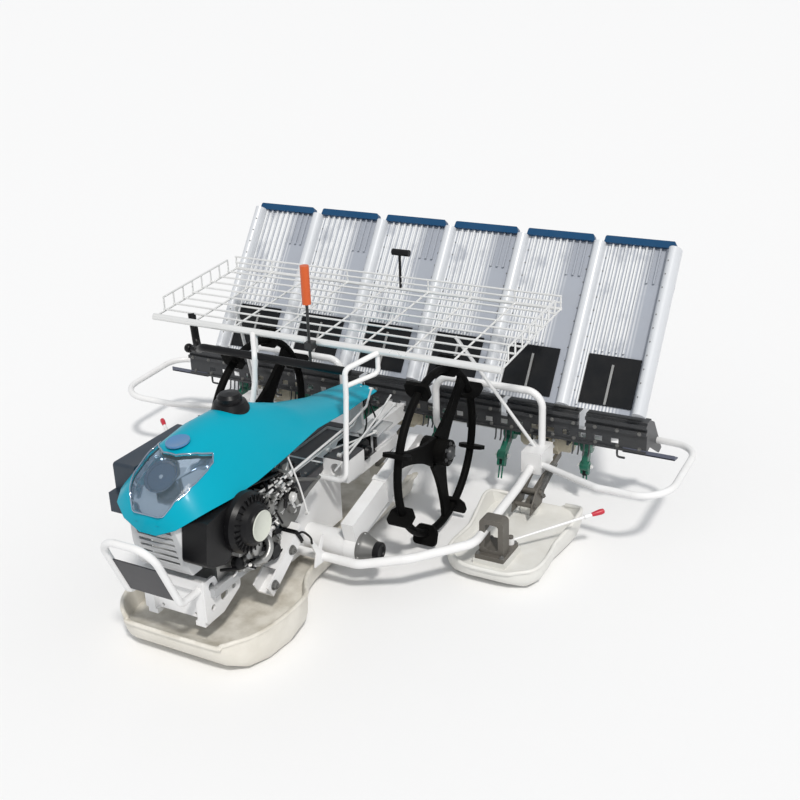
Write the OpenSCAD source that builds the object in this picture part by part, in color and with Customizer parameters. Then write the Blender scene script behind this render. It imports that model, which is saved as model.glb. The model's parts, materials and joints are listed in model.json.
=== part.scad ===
// Six-row walking rice transplanter.
// +X is the machine's own left, -Y is its front, +Z is up, and Z = 0 is the ground.
// Stations along Y are written from the sighting pole and moved to the origin at the end.

/* [Rows] */
// Spacing between planted rows
row_pitch = 300; // [290:5:310]

/* [Lug wheels] */
// Diameter over the lug tips
wheel_d = 660; // [620:5:680]
// Radius of the rim's centre line
rim_radius = 286; // [270:1:292]
// Radius of the round rim bar
rim_bar = 14; // [10:1:18]
// Lugs on each wheel
lug_count = 8; // [6:1:10]
// Angle of the first lug above level
lug_phase = 25; // [0:1:45]
// Width of a lug along the axle
lug_width = 88; // [70:2:92]
// Thickness of a lug
lug_thick = 13; // [8:1:18]
// Distance of each wheel from the middle
wheel_x = 367; // [363:1:372]
// Station of the wheel axle
axle_y = 220; // [210:2:230]
// Radius of the wheel hub
hub_radius = 46; // [38:1:55]
// Length of the wheel hub
hub_length = 96; // [80:2:100]
// Spokes in each wheel
spoke_count = 3; // [3:1:6]
// Width of a spoke at the hub
spoke_root = 104; // [60:2:110]
// Width of a spoke halfway out
spoke_tip = 44; // [30:2:56]

/* [Swing arms] */
// Station of the swing arm pivot
pivot_y = -190; // [-200:2:-180]
// Height of the swing arm pivot
pivot_z = 150; // [145:1:155]
// Inner face of the swing arm, from the middle
arm_x = 252; // [246:1:256]
// Thickness of the swing arm
arm_thick = 44; // [36:1:48]
// Depth of the swing arm
arm_depth = 84; // [70:1:90]
// Radius of the wheel axle
axle_radius = 15; // [12:0.5:20]

/* [Hood] */
// Front station of the hood
hood_front = -848; // [-852:1:-840]
// Rear station of the hood
hood_rear = 330; // [300:5:340]
// Half width of the hood over the engine
hood_half = 176; // [165:1:185]
// Sheet thickness of the hood
hood_wall = 4; // [3:0.5:6]
// Radius of the fuel cap skirt
cap_radius = 58; // [48:1:62]

/* [Floats] */
// Height of the seats that the floats' brackets stand on
float_height = 78; // [70:1:84]
// Half width of the centre float's bow
center_float_half = 276; // [262:2:290]
// Half width of a side float
side_float_half = 182; // [170:2:200]
// Distance of each side float from the middle
side_float_x = 652; // [645:1:660]

/* [Seedling table] */
// Angle of the table above level
table_angle = 54; // [50:1:58]
// Length of the table along its slope
table_length = 615; // [590:5:640]
// Height of the table's lower edge
table_z = 405; // [400:1:412]
// Station of the table's lower edge
table_y = 600; // [596:1:606]
// How far the table is parked to the left
table_park = 78; // [40:1:90]
// Thickness of the table's sheet
table_sheet = 5; // [4:0.5:8]
// Height of the table's ribs
rib_height = 9; // [5:0.5:12]
// Width of a rib
rib_width = 6; // [4:0.5:9]
// Width of a section divider
divider_width = 46; // [36:1:50]
// Height of a section divider
divider_height = 34; // [25:1:40]
// Half length of the guide rail
rail_half = 985; // [970:5:1000]

/* [Spare rack] */
// Half width of the spare rack
rack_half = 677; // [650:1:700]
// Front station of the spare rack
rack_front = 61; // [50:1:70]
// Depth of the spare rack
rack_depth = 511; // [480:1:530]
// Height of the spare rack's front tube
rack_z = 730; // [720:1:745]
// Radius of the spare rack's front tube
rack_tube = 12; // [9:0.5:13]
// Radius of a rack wire
wire_radius = 3.5; // [2.5:0.5:5]
// Height of the rack's fences
fence_height = 46; // [30:1:60]
// Cross wires in the rack
rack_cross_wires = 9; // [6:1:12]
// Lengthwise wires in the rack
rack_long_wires = 8; // [5:1:10]

/* [Tubes] */
// Radius of the frame tubes
tube_radius = 15; // [12:0.5:17]
// Radius of the handle tubes
handle_radius = 14; // [11:0.5:16]
// Reach of the side guards from the middle
guard_reach = 1150; // [1120:5:1210]

/* [Hidden] */
$fn = 48;

sections = 6;
front_y = -956;
rear_y = 1414;
origin_y = (front_y + rear_y) / 2;
axle_z = wheel_d / 2;
run_gap = 0.05;
slide_gap = 0.3;
// Each bend is a hair thicker than its straight runs, which reach a little way into it.
bend_swell = 0.2;
bend_lap = 2;

function unit(v) = v / norm(v);
function turn(p, i) = acos(max(-1, min(1, unit(p[i] - p[i-1]) * unit(p[i+1] - p[i]))));
// One bend radius serves every corner, or a list gives one for each point.
function bend_at(bend, i) = is_list(bend) ? bend[i] : bend;
function trim(p, i, bend) = (i == 0 || i == len(p) - 1) ? 0 : bend_at(bend, i) * tan(turn(p, i) / 2);

// Round bar between two points.
module rod(a, b, r) {
  v = b - a;
  translate(a)
    rotate([0, acos(v.z / norm(v)), atan2(v.y, v.x)])
      cylinder(h = norm(v), r = r);
}

// Quarter-ring piece that joins two straight runs tangent to both.
module elbow(p, u, v, r, bend) {
  th = acos(u * v);
  c = p + unit(v - u) * bend / cos(th / 2);
  e = unit(p - u * bend * tan(th / 2) - c);
  n = cross(e, u);
  multmatrix([[e.x, u.x, n.x, c.x], [e.y, u.y, n.y, c.y], [e.z, u.z, n.z, c.z], [0, 0, 0, 1]])
    rotate_extrude(angle = th)
      translate([bend, 0])
        circle(r = r + bend_swell);
}

// Bent tube through a list of corner points, with round bends.
module bent(p, r, bend) {
  last = len(p) - 1;
  for (i = [0 : last - 1]) {
    u = unit(p[i+1] - p[i]);
    start = i == 0 ? 0 : trim(p, i, bend) - bend_lap;
    stop = i == last - 1 ? 0 : trim(p, i + 1, bend) - bend_lap;
    rod(p[i] + u * start, p[i+1] - u * stop, r);
  }
  for (i = [1 : last - 1])
    elbow(p[i], unit(p[i] - p[i-1]), unit(p[i+1] - p[i]), r, bend_at(bend, i));
}

// Box between two opposite corners.
module block(a, b) {
  low = [for (i = [0 : 2]) min(a[i], b[i])];
  high = [for (i = [0 : 2]) max(a[i], b[i])];
  translate(low) cube(high - low);
}

// Side view (station, height) drawn out across the machine, and front view drawn out along it.
module along_x(x0, x1)
  translate([x0, 0, 0]) rotate([90, 0, 90]) linear_extrude(height = x1 - x0) children();
module along_y(y0, y1)
  translate([0, y1, 0]) rotate([90, 0, 0]) linear_extrude(height = y1 - y0) children();

// Flat bar with round ends, between two (station, height) points.
module link_bar(a, b, r, x0, x1) {
  for (p = [a, b])
    translate([x0, p.x, p.y]) rotate([0, 90, 0]) cylinder(r = r, h = x1 - x0);
  translate([x0, a.x, a.y])
    rotate([atan2(b.y - a.y, b.x - a.x), 0, 0])
      translate([0, 0, -r])
        cube([x1 - x0, norm(b - a), 2 * r]);
}

// Outline with its corners rounded, each by one radius or by its own.
function rounded(p, r) = [for (i = [0 : len(p) - 1])
  each corner(p[(i + len(p) - 1) % len(p)], p[i], p[(i + 1) % len(p)], bend_at(r, i), 5)];
function corner(before, p, after, r, steps) = r == 0 ? [p] :
  let (u = unit(p - before), v = unit(after - p), side = u.x * v.y > u.y * v.x ? 1 : -1,
       th = acos(max(-1, min(1, u * v))), start = p - u * r * tan(th / 2),
       c = start + side * r * [-u.y, u.x], d = start - c)
  [for (k = [0 : steps]) let (a = side * th * k / steps)
    c + [d.x * cos(a) - d.y * sin(a), d.x * sin(a) + d.y * cos(a)]];

// Skin over rings of points, with flat ends.
module loft(rings) {
  m = len(rings[0]);
  last = len(rings) - 1;
  polyhedron([for (r = rings) each r], concat(
    [[for (k = [0 : m - 1]) k]],
    [[for (k = [m - 1 : -1 : 0]) last * m + k]],
    [for (i = [0 : last - 1], k = [0 : m - 1])
      [i * m + k, (i + 1) * m + k, (i + 1) * m + (k + 1) % m]],
    [for (i = [0 : last - 1], k = [0 : m - 1])
      [i * m + k, (i + 1) * m + (k + 1) % m, i * m + (k + 1) % m]]));
}

// Right-hand copy of a left-hand piece.
module other_side() {
  mirror([1, 0, 0]) children();
}

// ---- engine and front ----
bed_half = 130;
bed_low = 230;
bed_top = 258;
bed_front = -742;
trans_front = -300;
module chassis_bed() color("dimgray") {
  difference() {
    block([-bed_half, bed_front, bed_low], [bed_half, trans_front, bed_top]);
    block([-bed_half + 8, bed_front + 8, bed_low - 4], [bed_half - 8, trans_front - 8, bed_top - 8]);
  }
}

// Channel that closes the bed's front, open forward, with four bolt holes in its web.
plate_half = 105;
plate_web = 12;
plate_front = bed_front - 28;
plate_web_y = bed_front - plate_web;
plate_low = 140;
plate_top = 290;
plate_bolt_x = 60;
plate_bolt_z = 80;
plate_bolt_r = 5.5;
plate_mid_z = 206;
module front_plate() color("lightgray") {
  difference() {
    block([-plate_half, plate_front, plate_low], [plate_half, bed_front, plate_top]);
    block([-78, plate_front - 1, plate_low + 15], [78, plate_web_y, 258]);
    block([-70, plate_front - 1, plate_low - 1], [70, bed_front + 1, plate_low + 15]);
    for (sx = [-1, 1], sz = [-1, 1])
      translate([sx * plate_bolt_x, plate_front - 1, plate_mid_z + sz * plate_bolt_z / 2])
        rotate([-90, 0, 0])
          cylinder(r = plate_bolt_r, h = 50);
  }
}

// The guard's two legs lean forward from the front plate to the bar that joins them.
guard_radius = 11;
guard_half = 92;
guard_top_y = front_y + guard_radius;
guard_top_z = 478;
guard_foot_y = -850;
guard_foot_z = 262;
guard_lean = atan2(guard_foot_y - guard_top_y, guard_top_z - guard_foot_z);
module front_guard() color("white")
  bent([[-guard_half, plate_front, guard_foot_z], [-guard_half, guard_foot_y, guard_foot_z],
        [-guard_half, guard_top_y, guard_top_z], [guard_half, guard_top_y, guard_top_z],
        [guard_half, guard_foot_y, guard_foot_z], [guard_half, plate_front, guard_foot_z]],
       guard_radius, [0, 26, 62, 62, 26, 0]);
module guard_panel() color("dimgray")
  difference() {
    translate([0, guard_foot_y, guard_foot_z]) rotate([guard_lean, 0, 0])
      translate([-guard_half, -2, 14])
        cube([2 * guard_half, 4, 136]);
    front_guard();
  }

// Hood sections run from the nose to the tail.
// Columns: station, half width, height of the lower edge, height of the crown.
hood_table = [
  [hood_front, 30, 466, 500],
  [-835, 92, 490, 548],
  [-810, 134, 518, 590],
  [-760, 160, 532, 634],
  [-680, hood_half, 534, 676],
  [-560, hood_half + 4, 534, 694],
  [-400, hood_half - 8, 534, 690],
  [-160, 136, 528, 592],
  [95, 104, 486, 516],
  [hood_rear, 78, 462, 480]];
hood_steps = 14;
function hood_ring(row, inset) = [for (k = [0 : 2 * hood_steps])
  let (u = k / hood_steps - 1)
  [(row[1] - inset) * u, row[0], row[2] + (row[3] - inset - row[2]) * (1 - u * u)]];
module hood_solid(inset, drop, grow) {
  last = len(hood_table) - 1;
  loft([for (i = [0 : last])
    let (r = hood_table[i], y = r[0] + (i == 0 ? -grow : i == last ? grow : 0))
    hood_ring([y, r[1], r[2] - drop, r[3]], inset)]);
}
// The lamp's lens wraps the nose and is swept back on both sides. It fills its cut-out in the hood.
lens_low = 523;
lens_edge = [[40, -870], [52, -838], [70, -820], [86, -800], [98, -775], [104, -746],
             [109, -693], [107, -664], [92, -642], [76, -673], [54, -695], [22, -717]];
lens_proud = 4;
lens_depth = 9;
module lens_prism()
  translate([0, 0, lens_low]) linear_extrude(height = 220)
    polygon(concat(lens_edge, [for (i = [len(lens_edge) - 1 : -1 : 0]) [-lens_edge[i].x, lens_edge[i].y]]));
module hood() color("darkcyan") {
  difference() {
    hood_solid(0, 0, 0);
    hood_solid(hood_wall, 12, -hood_wall);
    lens_prism();
  }
}
module headlamp() color("lightblue") {
  difference() {
    intersection() {
      hood_solid(-lens_proud, 0, 0);
      lens_prism();
    }
    hood_solid(lens_depth, 0, 0);
  }
}

cap_y = -422;
cap_z = 660;
module fuel_cap() color("black") {
  difference() {
    translate([0, cap_y, cap_z])
      rotate_extrude()
        polygon([[0, 0], [cap_radius, 0], [cap_radius, 22], [cap_radius * 0.84, 42],
                 [cap_radius * 0.66, 45], [cap_radius * 0.66, 58], [cap_radius * 0.52, 68], [0, 71]]);
    hood_solid(0, 0, 0);
  }
}

// The grille closes the nose under the hood's rim, and leans forward to its top.
grille_half = 92;
module grille_block(inset)
  intersection() {
    along_x(-grille_half + inset, grille_half - inset)
      polygon([[bed_front + inset, 504], [bed_front + inset, 310 + inset], [-778, 310 + inset],
               [-796 + inset, 336], [-830 + inset, 496], [-830 + inset, 504]]);
    translate([0, 0, 320]) linear_extrude(height = 220)
      polygon(rounded([[-grille_half + inset, bed_front + inset], [-grille_half + inset, -812],
                       [-74, -830 + inset], [74, -830 + inset], [grille_half - inset, -812],
                       [grille_half - inset, bed_front + inset]], [0, 10, 10, 10, 10, 0]));
  }
module grille() color("gainsboro")
  difference() {
    grille_block(0);
    grille_block(6);
    for (i = [0 : 5])
      block([-64, -840, 352 + i * 22], [64, -764, 362 + i * 22]);
    hood_solid(0, 0, 0);
  }

// Dark cover and intake box on the hood's right side.
module side_cover() color("saddlebrown")
  difference() {
    union() {
      along_x(-200, -122)
        polygon(rounded([[-738, 505], [-738, 597], [-430, 597], [-430, 532], [-520, 505]], 9));
      block([-206, -764, 450], [-150, -690, 512]);
    }
    hood_solid(0, 0, 0);
  }

engine_front = -700;
engine_rear = -420;
engine_side = 110;
engine_top = 462;
module engine_block() color("silver") {
  block([-120, engine_front, bed_top], [engine_side, engine_rear, 380]);
  block([70, engine_front, 380], [engine_side, -560, 506]);
  block([-84, -674, 380], [70, -466, 452]);
  for (i = [0 : 4])
    block([-104, -694, 388 + i * 13], [70, -446, 394 + i * 13]);
  block([-96, -684, 452], [60, -456, engine_top]);
  block([-110, -560, engine_top], [92, -340, 536]);
  difference() {
    translate([0, cap_y - 18, 536]) cylinder(r = 30, h = 149);
    hood();
  }
}

recoil_y = -645;
recoil_z = 446;
recoil_radius = 92;
module recoil_starter() color("black")
  difference() {
    translate([engine_side, recoil_y, recoil_z]) rotate([0, 90, 0])
      rotate_extrude()
        polygon([[0, 0], [recoil_radius, 0], [recoil_radius, 84], [recoil_radius - 8, 98],
                 [recoil_radius - 26, 104], [recoil_radius - 32, 122], [50, 128], [46, 134], [0, 134]]);
    hood_solid(0, 0, 0);
  }

module engine_cover() color("black")
  difference() {
    along_x(grille_half + 2, 178)
      polygon(rounded([[-806, 512], [-684, 526], [-716, 345], [-826, 384]], [10, 10, 24, 24]));
    block([0, engine_front, 0], [engine_side, 0, 600]);
    translate([engine_side - 1, recoil_y, recoil_z]) rotate([0, 90, 0])
      cylinder(r = recoil_radius + slide_gap, h = 100);
  }

muffler_radius = 46;
module muffler() color("dimgray") {
  translate([-120 - muffler_radius, -570, 350]) rotate([-90, 0, 0])
    cylinder(r = muffler_radius, h = 150);
  block([-150, -520, 330], [-120, -470, 370]);
  bent([[-166, -500, 380], [-166, -500, 424], [-166, -400, 424]], 12, 24);
}

// ---- driveline ----
trans_half = 96;
trans_low = 105;
trans_top = 360;
module transmission() color("gainsboro") {
  difference() {
    along_x(-trans_half, trans_half)
      polygon(rounded([[trans_front, trans_low], [20, trans_low], [20, 320], [-60, 320],
                       [-60, trans_top], [-258, trans_top], [trans_front, 264]],
                      [0, 0, 12, 8, 12, 30, 0]));
    block([-60, -50, 296], [60, 10, 330]);
  }
  for (side = [-1, 1])
    translate([side * trans_half, pivot_y, pivot_z])
      rotate([0, side * 90, 0]) {
        cylinder(r = 42, h = arm_x - trans_half - 1);
        cylinder(r = stub_radius, h = arm_x - trans_half + stub_reach);
      }
}

// Side plates of the bed, the sloping box beams outside them and the clutch box.
plate_thick = 8;
module side_plate() {
  difference() {
    along_x(plate_half, plate_half + plate_thick)
      polygon(rounded([[plate_front, 150], [plate_front, plate_top], [-716, plate_top],
                       [engine_front - 4, bed_top], [-640, bed_top], [-600, bed_low], [-600, 190], [-690, 150]],
                      [10, 10, 14, 0, 0, 0, 16, 16]));
    for (hole = [[-735, 262, 13], [-735, 190, 10], [-680, 205, 17], [-632, 208, 9]])
      translate([plate_half - 1, hole.x, hole.y])
        rotate([0, 90, 0])
          cylinder(r = hole.z, h = plate_thick + 2);
    block([0, bed_front, bed_low], [bed_half, 0, bed_top]);
  }
}
module box_beam()
  difference() {
    translate([bed_half, -552, 156]) rotate([32, 0, 0]) translate([0, 0, -25]) cube([56, 232, 50]);
    translate([bed_half + 6, -561, 158]) rotate([30, 0, 0]) translate([0, -20, -21]) cube([44, 120, 42]);
  }
module side_plates() color("white") {
  side_plate();
  other_side() side_plate();
  box_beam();
  other_side() box_beam();
  difference() {
    block([trans_half, -80, 306], [190, 30, 383]);
    translate([145, -81, 346]) rotate([-90, 0, 0]) cylinder(r = 23, h = 60);
    block([trans_half + 8, -72, 300], [182, 22, 375]);
  }
}

// Deck behind the transmission, the beam under it and the stay that carries the hood's tail.
beam_y = 725;
beam_z = 240;
beam_depth = 50;
beam_front = beam_y - beam_depth / 2;
beam_rear = beam_y + beam_depth / 2;
deck_top = 300;
main_half = 34;
main_top = 296;
module main_beam() color("gainsboro") {
  difference() {
    block([-main_half, 20, 236], [main_half, beam_front, main_top]);
    case_body();
  }
  difference() {
    block([-150, 20, 262], [150, 340, deck_top]);
    block([-126, 60, 288], [40, 300, deck_top + 1]);
  }
  block([67, 188, deck_top], [148, 336, deck_top + 10]);
  difference() {
    block([-30, 290, deck_top], [30, 306, 482.5]);
    hood();
  }
}

// Arm from its pivot to the wheel axle, with a stepped hub outside the pivot.
stub_radius = 26;
stub_reach = 30;
arm_rise = 72;
bar_start = [pivot_y, pivot_z + arm_rise];
bar_end = [axle_y, axle_z];
arm_tilt = atan2(bar_end.y - bar_start.y, bar_end.x - bar_start.x);
module swing_arm() {
  difference() {
    union() {
      translate([arm_x, pivot_y, pivot_z]) rotate([0, 90, 0]) cylinder(r = 48, h = arm_thick);
      translate([arm_x, bar_start.x, bar_start.y]) rotate([arm_tilt, 0, 0]) {
        translate([0, -42, -arm_depth / 2]) cube([arm_thick, norm(bar_end - bar_start) + 42, arm_depth]);
        translate([-4, 180, -arm_depth / 2 - 4]) cube([arm_thick + 8, 22, arm_depth + 8]);
      }
      translate([arm_x, axle_y, axle_z]) rotate([0, 90, 0]) cylinder(r = arm_depth / 2 + 3, h = arm_thick);
      translate([arm_x + arm_thick, pivot_y, pivot_z]) rotate([0, 90, 0])
        rotate_extrude()
          polygon([[0, 0], [44, 0], [44, 14], [35, 18], [32, 38], [24, 42], [24, 58], [16, 63], [0, 63]]);
      translate([arm_x + arm_thick, axle_y, axle_z]) rotate([0, 90, 0])
        cylinder(r = axle_radius, h = wheel_x - arm_x - arm_thick + hub_length / 2 - 12);
      rod([arm_x + arm_thick / 2, -150, 166], [arm_x + arm_thick / 2, 70, 206], 8);
      block([arm_x + 12, 58, 190], [arm_x + 32, 86, 270]);
    }
    translate([arm_x - 1, pivot_y, pivot_z]) rotate([0, 90, 0])
      cylinder(r = stub_radius + run_gap, h = stub_reach + 2);
  }
}
module swing_arm_left() color("white") swing_arm();
module swing_arm_right() color("white") other_side() swing_arm();

// Spoke outline: broad at the hub, flared a little where it meets the rim.
function spoke_half(t) = spoke_tip / 2 + (spoke_root - spoke_tip) / 2 * pow(1 - t, 3) + 12 * pow(t, 9);
module spoke() {
  near = hub_radius - 12;
  edge = [for (i = [0 : 12]) let (t = i / 12) [near + t * (rim_radius - near), spoke_half(t)]];
  linear_extrude(height = rim_bar, center = true)
    polygon(concat(edge, [for (i = [12 : -1 : 0]) [edge[i].x, -edge[i].y]]));
}
// Lug outline across the wheel: a narrow foot inside the rim and a broad blade with round shoulders.
module lug()
  translate([0, -lug_thick / 2, 0]) rotate([-90, -90, 0]) linear_extrude(height = lug_thick)
    polygon(rounded([[-26, rim_radius - 28], [-lug_width / 2, rim_radius - 6], [-lug_width / 2, axle_z],
                     [lug_width / 2, axle_z], [lug_width / 2, rim_radius - 6], [26, rim_radius - 28]],
                    [6, 12, 16, 16, 12, 6]));
module wheel() translate([wheel_x, axle_y, axle_z]) rotate([0, 90, 0]) {
  difference() {
    union() {
      rotate_extrude() translate([rim_radius, 0]) circle(r = rim_bar);
      translate([0, 0, -hub_length / 2]) cylinder(r = hub_radius, h = hub_length);
      for (i = [0 : spoke_count - 1])
        rotate([0, 0, lug_phase + 108 + i * 360 / spoke_count])
          spoke();
      for (i = [0 : lug_count - 1])
        rotate([0, 0, lug_phase + 90 + i * 360 / lug_count])
          lug();
    }
    translate([0, 0, -hub_length / 2 - 1])
      cylinder(r = axle_radius + run_gap, h = hub_length - 9);
  }
}
module wheel_left() color("black") wheel();
module wheel_right() color("black") other_side() wheel();

// ---- floats ----
// Ring of a float at one station: over its rims and deck, then back under its round bilges.
float_lip = 12;
float_bilge = 44;
function pan_ring(y, half, keel, rim, deck) =
  let (rise = (rim - keel) * 0.8, bilge = min(float_bilge, half * 0.5))
  concat([[-half, y, rim], [float_lip - half, y, rim], [2 * float_lip - half, y, deck],
          [half - 2 * float_lip, y, deck], [half - float_lip, y, rim], [half, y, rim]],
         [for (k = [4 : -1 : 0]) let (a = k * 22.5)
           [half - bilge * (1 - sin(a)), y, keel + rise * (1 - cos(a))]],
         [for (k = [0 : 4]) let (a = k * 22.5)
           [bilge * (1 - sin(a)) - half, y, keel + rise * (1 - cos(a))]]);
// A float narrows from its widest half by an inset at each station.
// Columns: station, inset, height of the keel, of the rim and of the deck.
module pan(half, table)
  loft([for (row = table) pan_ring(row[0], half - row[1], row[2], row[3], row[4])]);
center_float_table = [
  [-803, 126, 84, 104, 100],
  [-795, 96, 58, 112, 98],
  [-775, 64, 32, 122, 84],
  [-730, 30, 10, 126, 68],
  [-660, 8, 2, 128, 62],
  [-560, 0, 0, 128, 62],
  [-470, 14, 0, 120, 66],
  [-420, 46, 0, 112, 70],
  [-360, 84, 0, 100, 74],
  [-300, 108, 0, 88, 74],
  [-240, 120, 0, 80, 70],
  [-100, 126, 0, 72, 64],
  [440, 126, 0, 72, 64],
  [480, 140, 10, 72, 66]];
side_float_table = [
  [-25, 113, 43, 68, 61],
  [-10, 72, 24, 72, 62],
  [20, 28, 8, 76, 60],
  [70, 14, 0, 78, 58],
  [150, 16, 0, 78, 58],
  [210, 20, 0, 82, 58],
  [300, 8, 0, 96, 62],
  [370, 0, 0, 112, 66],
  [410, 6, 4, 112, 70],
  [432, 34, 16, 104, 82],
  [444, 74, 32, 96, 88]];
float_seat_rear = 100;
center_link_y = 435;
side_link_y = 380;
link_width = 40;
module center_float() color("ivory") {
  pan(center_float_half, center_float_table);
  block([-50, trans_front + 2, 30], [50, -240, trans_low]);
  block([-30, center_link_y, 30], [30, center_link_y + link_width, float_seat_rear]);
}
module side_float() {
  translate([side_float_x, 0, 0]) {
    pan(side_float_half, side_float_table);
    block([-56, 8, 30], [56, 142, float_height]);
    block([-42, side_link_y, 30], [14, side_link_y + link_width, float_seat_rear]);
  }
}
module side_float_left() color("ivory") side_float();
module side_float_right() color("ivory") other_side() side_float();

// Loop that holds the frame tube over a side float, its base and the marker's pin.
case_low = 180;
case_front = 650;
link_thick = 12;
bracket_base = 16;
marker_y = 120;
marker_reach_x = 30;
pin_radius = 6;
eye_height = 21;
module float_link(x, y)
  along_x(x - link_thick / 2, x + link_thick / 2)
    polygon([[y, float_seat_rear], [y + link_width, float_seat_rear], [690, case_low - 22],
             [690, case_low], [case_front + 4, case_low], [y, float_seat_rear + 26]]);
module float_bracket() {
  difference() {
    translate([side_float_x, 0, 0]) {
      block([-50, 12, float_height], [50, 138, float_height + bracket_base]);
      along_y(30, 80)
        difference() {
          polygon(rounded([[-42, 90], [-42, 218], [42, 218], [42, 90]], [0, 16, 16, 0]));
          polygon(rounded([[-24, 108], [-24, 200], [24, 200], [24, 108]], 10));
        }
    }
    side_frame();
  }
  translate([side_float_x + marker_reach_x, marker_y, float_height + bracket_base]) {
    cylinder(r = pin_radius, h = eye_height + 8);
    translate([0, 0, eye_height + 2 * slide_gap]) cylinder(r = 10, h = 7);
  }
  float_link(side_float_x - 14, side_link_y);
}
module float_brackets() color("rosybrown") {
  float_bracket();
  other_side() float_bracket();
  float_link(0, center_link_y);
}

// ---- frame tubes ----
frame_end_x = 2 * row_pitch;
frame_end_z = 206;
module side_frame() {
  difference() {
    bent([[trans_half, -262, 130], [320, -262, 130], [470, -195, 152],
          [616, -20, 152], [620, 330, 190], [frame_end_x, 590, frame_end_z],
          [frame_end_x, case_front + 20, frame_end_z]],
         tube_radius, [0, 90, 90, 90, 90, 60, 0]);
    block([0, case_front, 0], [900, 900, 400]);
  }
}
module side_frame_left() color("white") side_frame();
module side_frame_right() color("white") other_side() side_frame();

// Legs of the rack stand on the transmission's sides; a brace closes each into a hairpin.
leg_radius = 9;
cross_y = 30;
cross_z = 655;
cross_radius = 14;
module rack_front_tube()
  rod([-rack_half, rack_front, rack_z], [rack_half, rack_front, rack_z], rack_tube);
module cross_tube() rod([-450, cross_y, cross_z], [150, cross_y, cross_z], cross_radius);
module rack_legs() color("white")
  difference() {
    for (side = [-1, 1]) {
      bent([[side * trans_half, -110, 328], [side * 200, -110, 328], [side * 178, -46, 600],
            [side * 175, -40, 692], [side * 250, rack_front, rack_z]], leg_radius, [0, 30, 60, 24, 0]);
      bent([[side * 177, -42, 636], [side * 240, rack_front, 655], [side * 240, rack_front, rack_z]],
           leg_radius - 1, 20);
    }
    rack_front_tube();
    cross_tube();
  }

// ---- planting gear ----
beam_half = 712;
rail_s = 430;
rail_n = -60;
table_rail = on_table(rail_s, rail_n);
table_rail_radius = 14;
table_post_x = 140;
module planting_beam() color("white") {
  block([-beam_half, beam_front, beam_z - 25], [beam_half, beam_rear, beam_z + 25]);
  block([-60, beam_front, beam_z + 25], [60, beam_rear, 300]);
  rod([-610, table_rail.x, table_rail.y], [610, table_rail.x, table_rail.y], table_rail_radius);
  for (side = [-1, 1])
    bent([[side * table_post_x, beam_rear, beam_z], [side * table_post_x, table_rail.x, beam_z],
          [side * table_post_x, table_rail.x, table_rail.y]], 12, 50);
}

// Casting on each pair of rows, with a shaft to the arm on either side.
shaft_y = 672;
shaft_z = 232;
module case_body()
  along_x(-46, 46)
    polygon(rounded([[case_front, case_low], [beam_front, case_low], [beam_front, 286],
                     [670, 286], [case_front, 262]], [6, 0, 6, 16, 16]));
module planting_case() {
  difference() {
    case_body();
    block([-30, 664, 246], [30, 690, 300]);
  }
  for (side = [-1, 1])
    translate([side * 46, shaft_y, shaft_z]) rotate([0, side * 90, 0]) {
      cylinder(r = 27, h = 26);
      cylinder(r = 18, h = 40);
    }
}
module planting_cases() color("wheat")
  for (c = [-1, 0, 1])
    translate([c * 2 * row_pitch, 0, 0])
      planting_case();

// Each arm swings its claw past the rail; the two on one shaft stand half a turn apart.
// Columns: side of the case, joint of the claw, tip of the claw (station, height).
claw_table = [
  [-1, [592, 168], [566, 84]],
  [1, [652, 156], [650, 90]]];
arm_half = 11;
module planting_arm(joint, tip) {
  link_bar([shaft_y, shaft_z], [shaft_y, shaft_z], 25, -arm_half - 3, arm_half + 3);
  link_bar([shaft_y, shaft_z], joint, 16, -arm_half, arm_half);
  link_bar(joint, joint + 0.35 * (tip - joint), 11, -arm_half - 4, arm_half + 4);
  for (side = [-1, 1])
    rod([side * 6, joint.x, joint.y], [side * 6, tip.x, tip.y], 3);
}
module planting_arms() color("darkgreen")
  for (c = [-1, 0, 1], claw = claw_table) {
    translate([c * 2 * row_pitch + claw[0] * row_pitch / 2, 0, 0])
      planting_arm(claw[1], claw[2]);
    rod([c * 2 * row_pitch + claw[0] * 86, shaft_y, shaft_z],
        [c * 2 * row_pitch + claw[0] * (row_pitch / 2 - arm_half), shaft_y, shaft_z], 10);
  }

// The rail carries the table's shoes on its top flange; claws pass through a notch at each row.
rail_top = 385;
rail_low = 268;
rail_y = table_y + 6;
slot_pitch = 60;
module rail_end()
  difference() {
    along_x(rail_half - 6, rail_half)
      polygon([[rail_y + 6, rail_low], [rail_y + 44, rail_low + 10], [770, 204], [800, 212],
               [690, 358], [rail_y + 44, rail_top - 6], [rail_y + 6, rail_top - 6]]);
    side_guard();
  }
notch_half = 13;
module guide_rail() color("slategray") {
  difference() {
    union() {
      along_x(-rail_half, rail_half)
        polygon([[rail_y, rail_low], [rail_y + 6, rail_low], [rail_y + 6, rail_top - 6],
                 [rail_y + 44, rail_top - 6], [rail_y + 44, rail_top], [rail_y, rail_top]]);
      for (z = [338, 364])
        block([-rail_half, rail_y - 11, z], [rail_half, rail_y, z + 13]);
      block([-rail_half, rail_y - 6, rail_low], [rail_half, rail_y, rail_low + 8]);
    }
    for (i = [0 : sections - 1])
      block([(i - 2.5) * row_pitch - notch_half, rail_y - 20, 318],
            [(i - 2.5) * row_pitch + notch_half, rail_y + 60, 400]);
    for (i = [0 : sections - 1], k = [-2 : 2])
      block([(i - 2.5) * row_pitch + k * slot_pitch - 14, rail_y - 5, 288],
            [(i - 2.5) * row_pitch + k * slot_pitch + 14, rail_y + 20, 308]);
    block([-main_half, rail_y - 20, rail_low - 1], [main_half, rail_y + 20, main_top]);
  }
  for (x = [-694, -300, 300, 694])
    block([x - 4, rail_y + 6, 244], [x + 4, beam_front, 330]);
  rail_end();
  other_side() rail_end();
}

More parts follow.
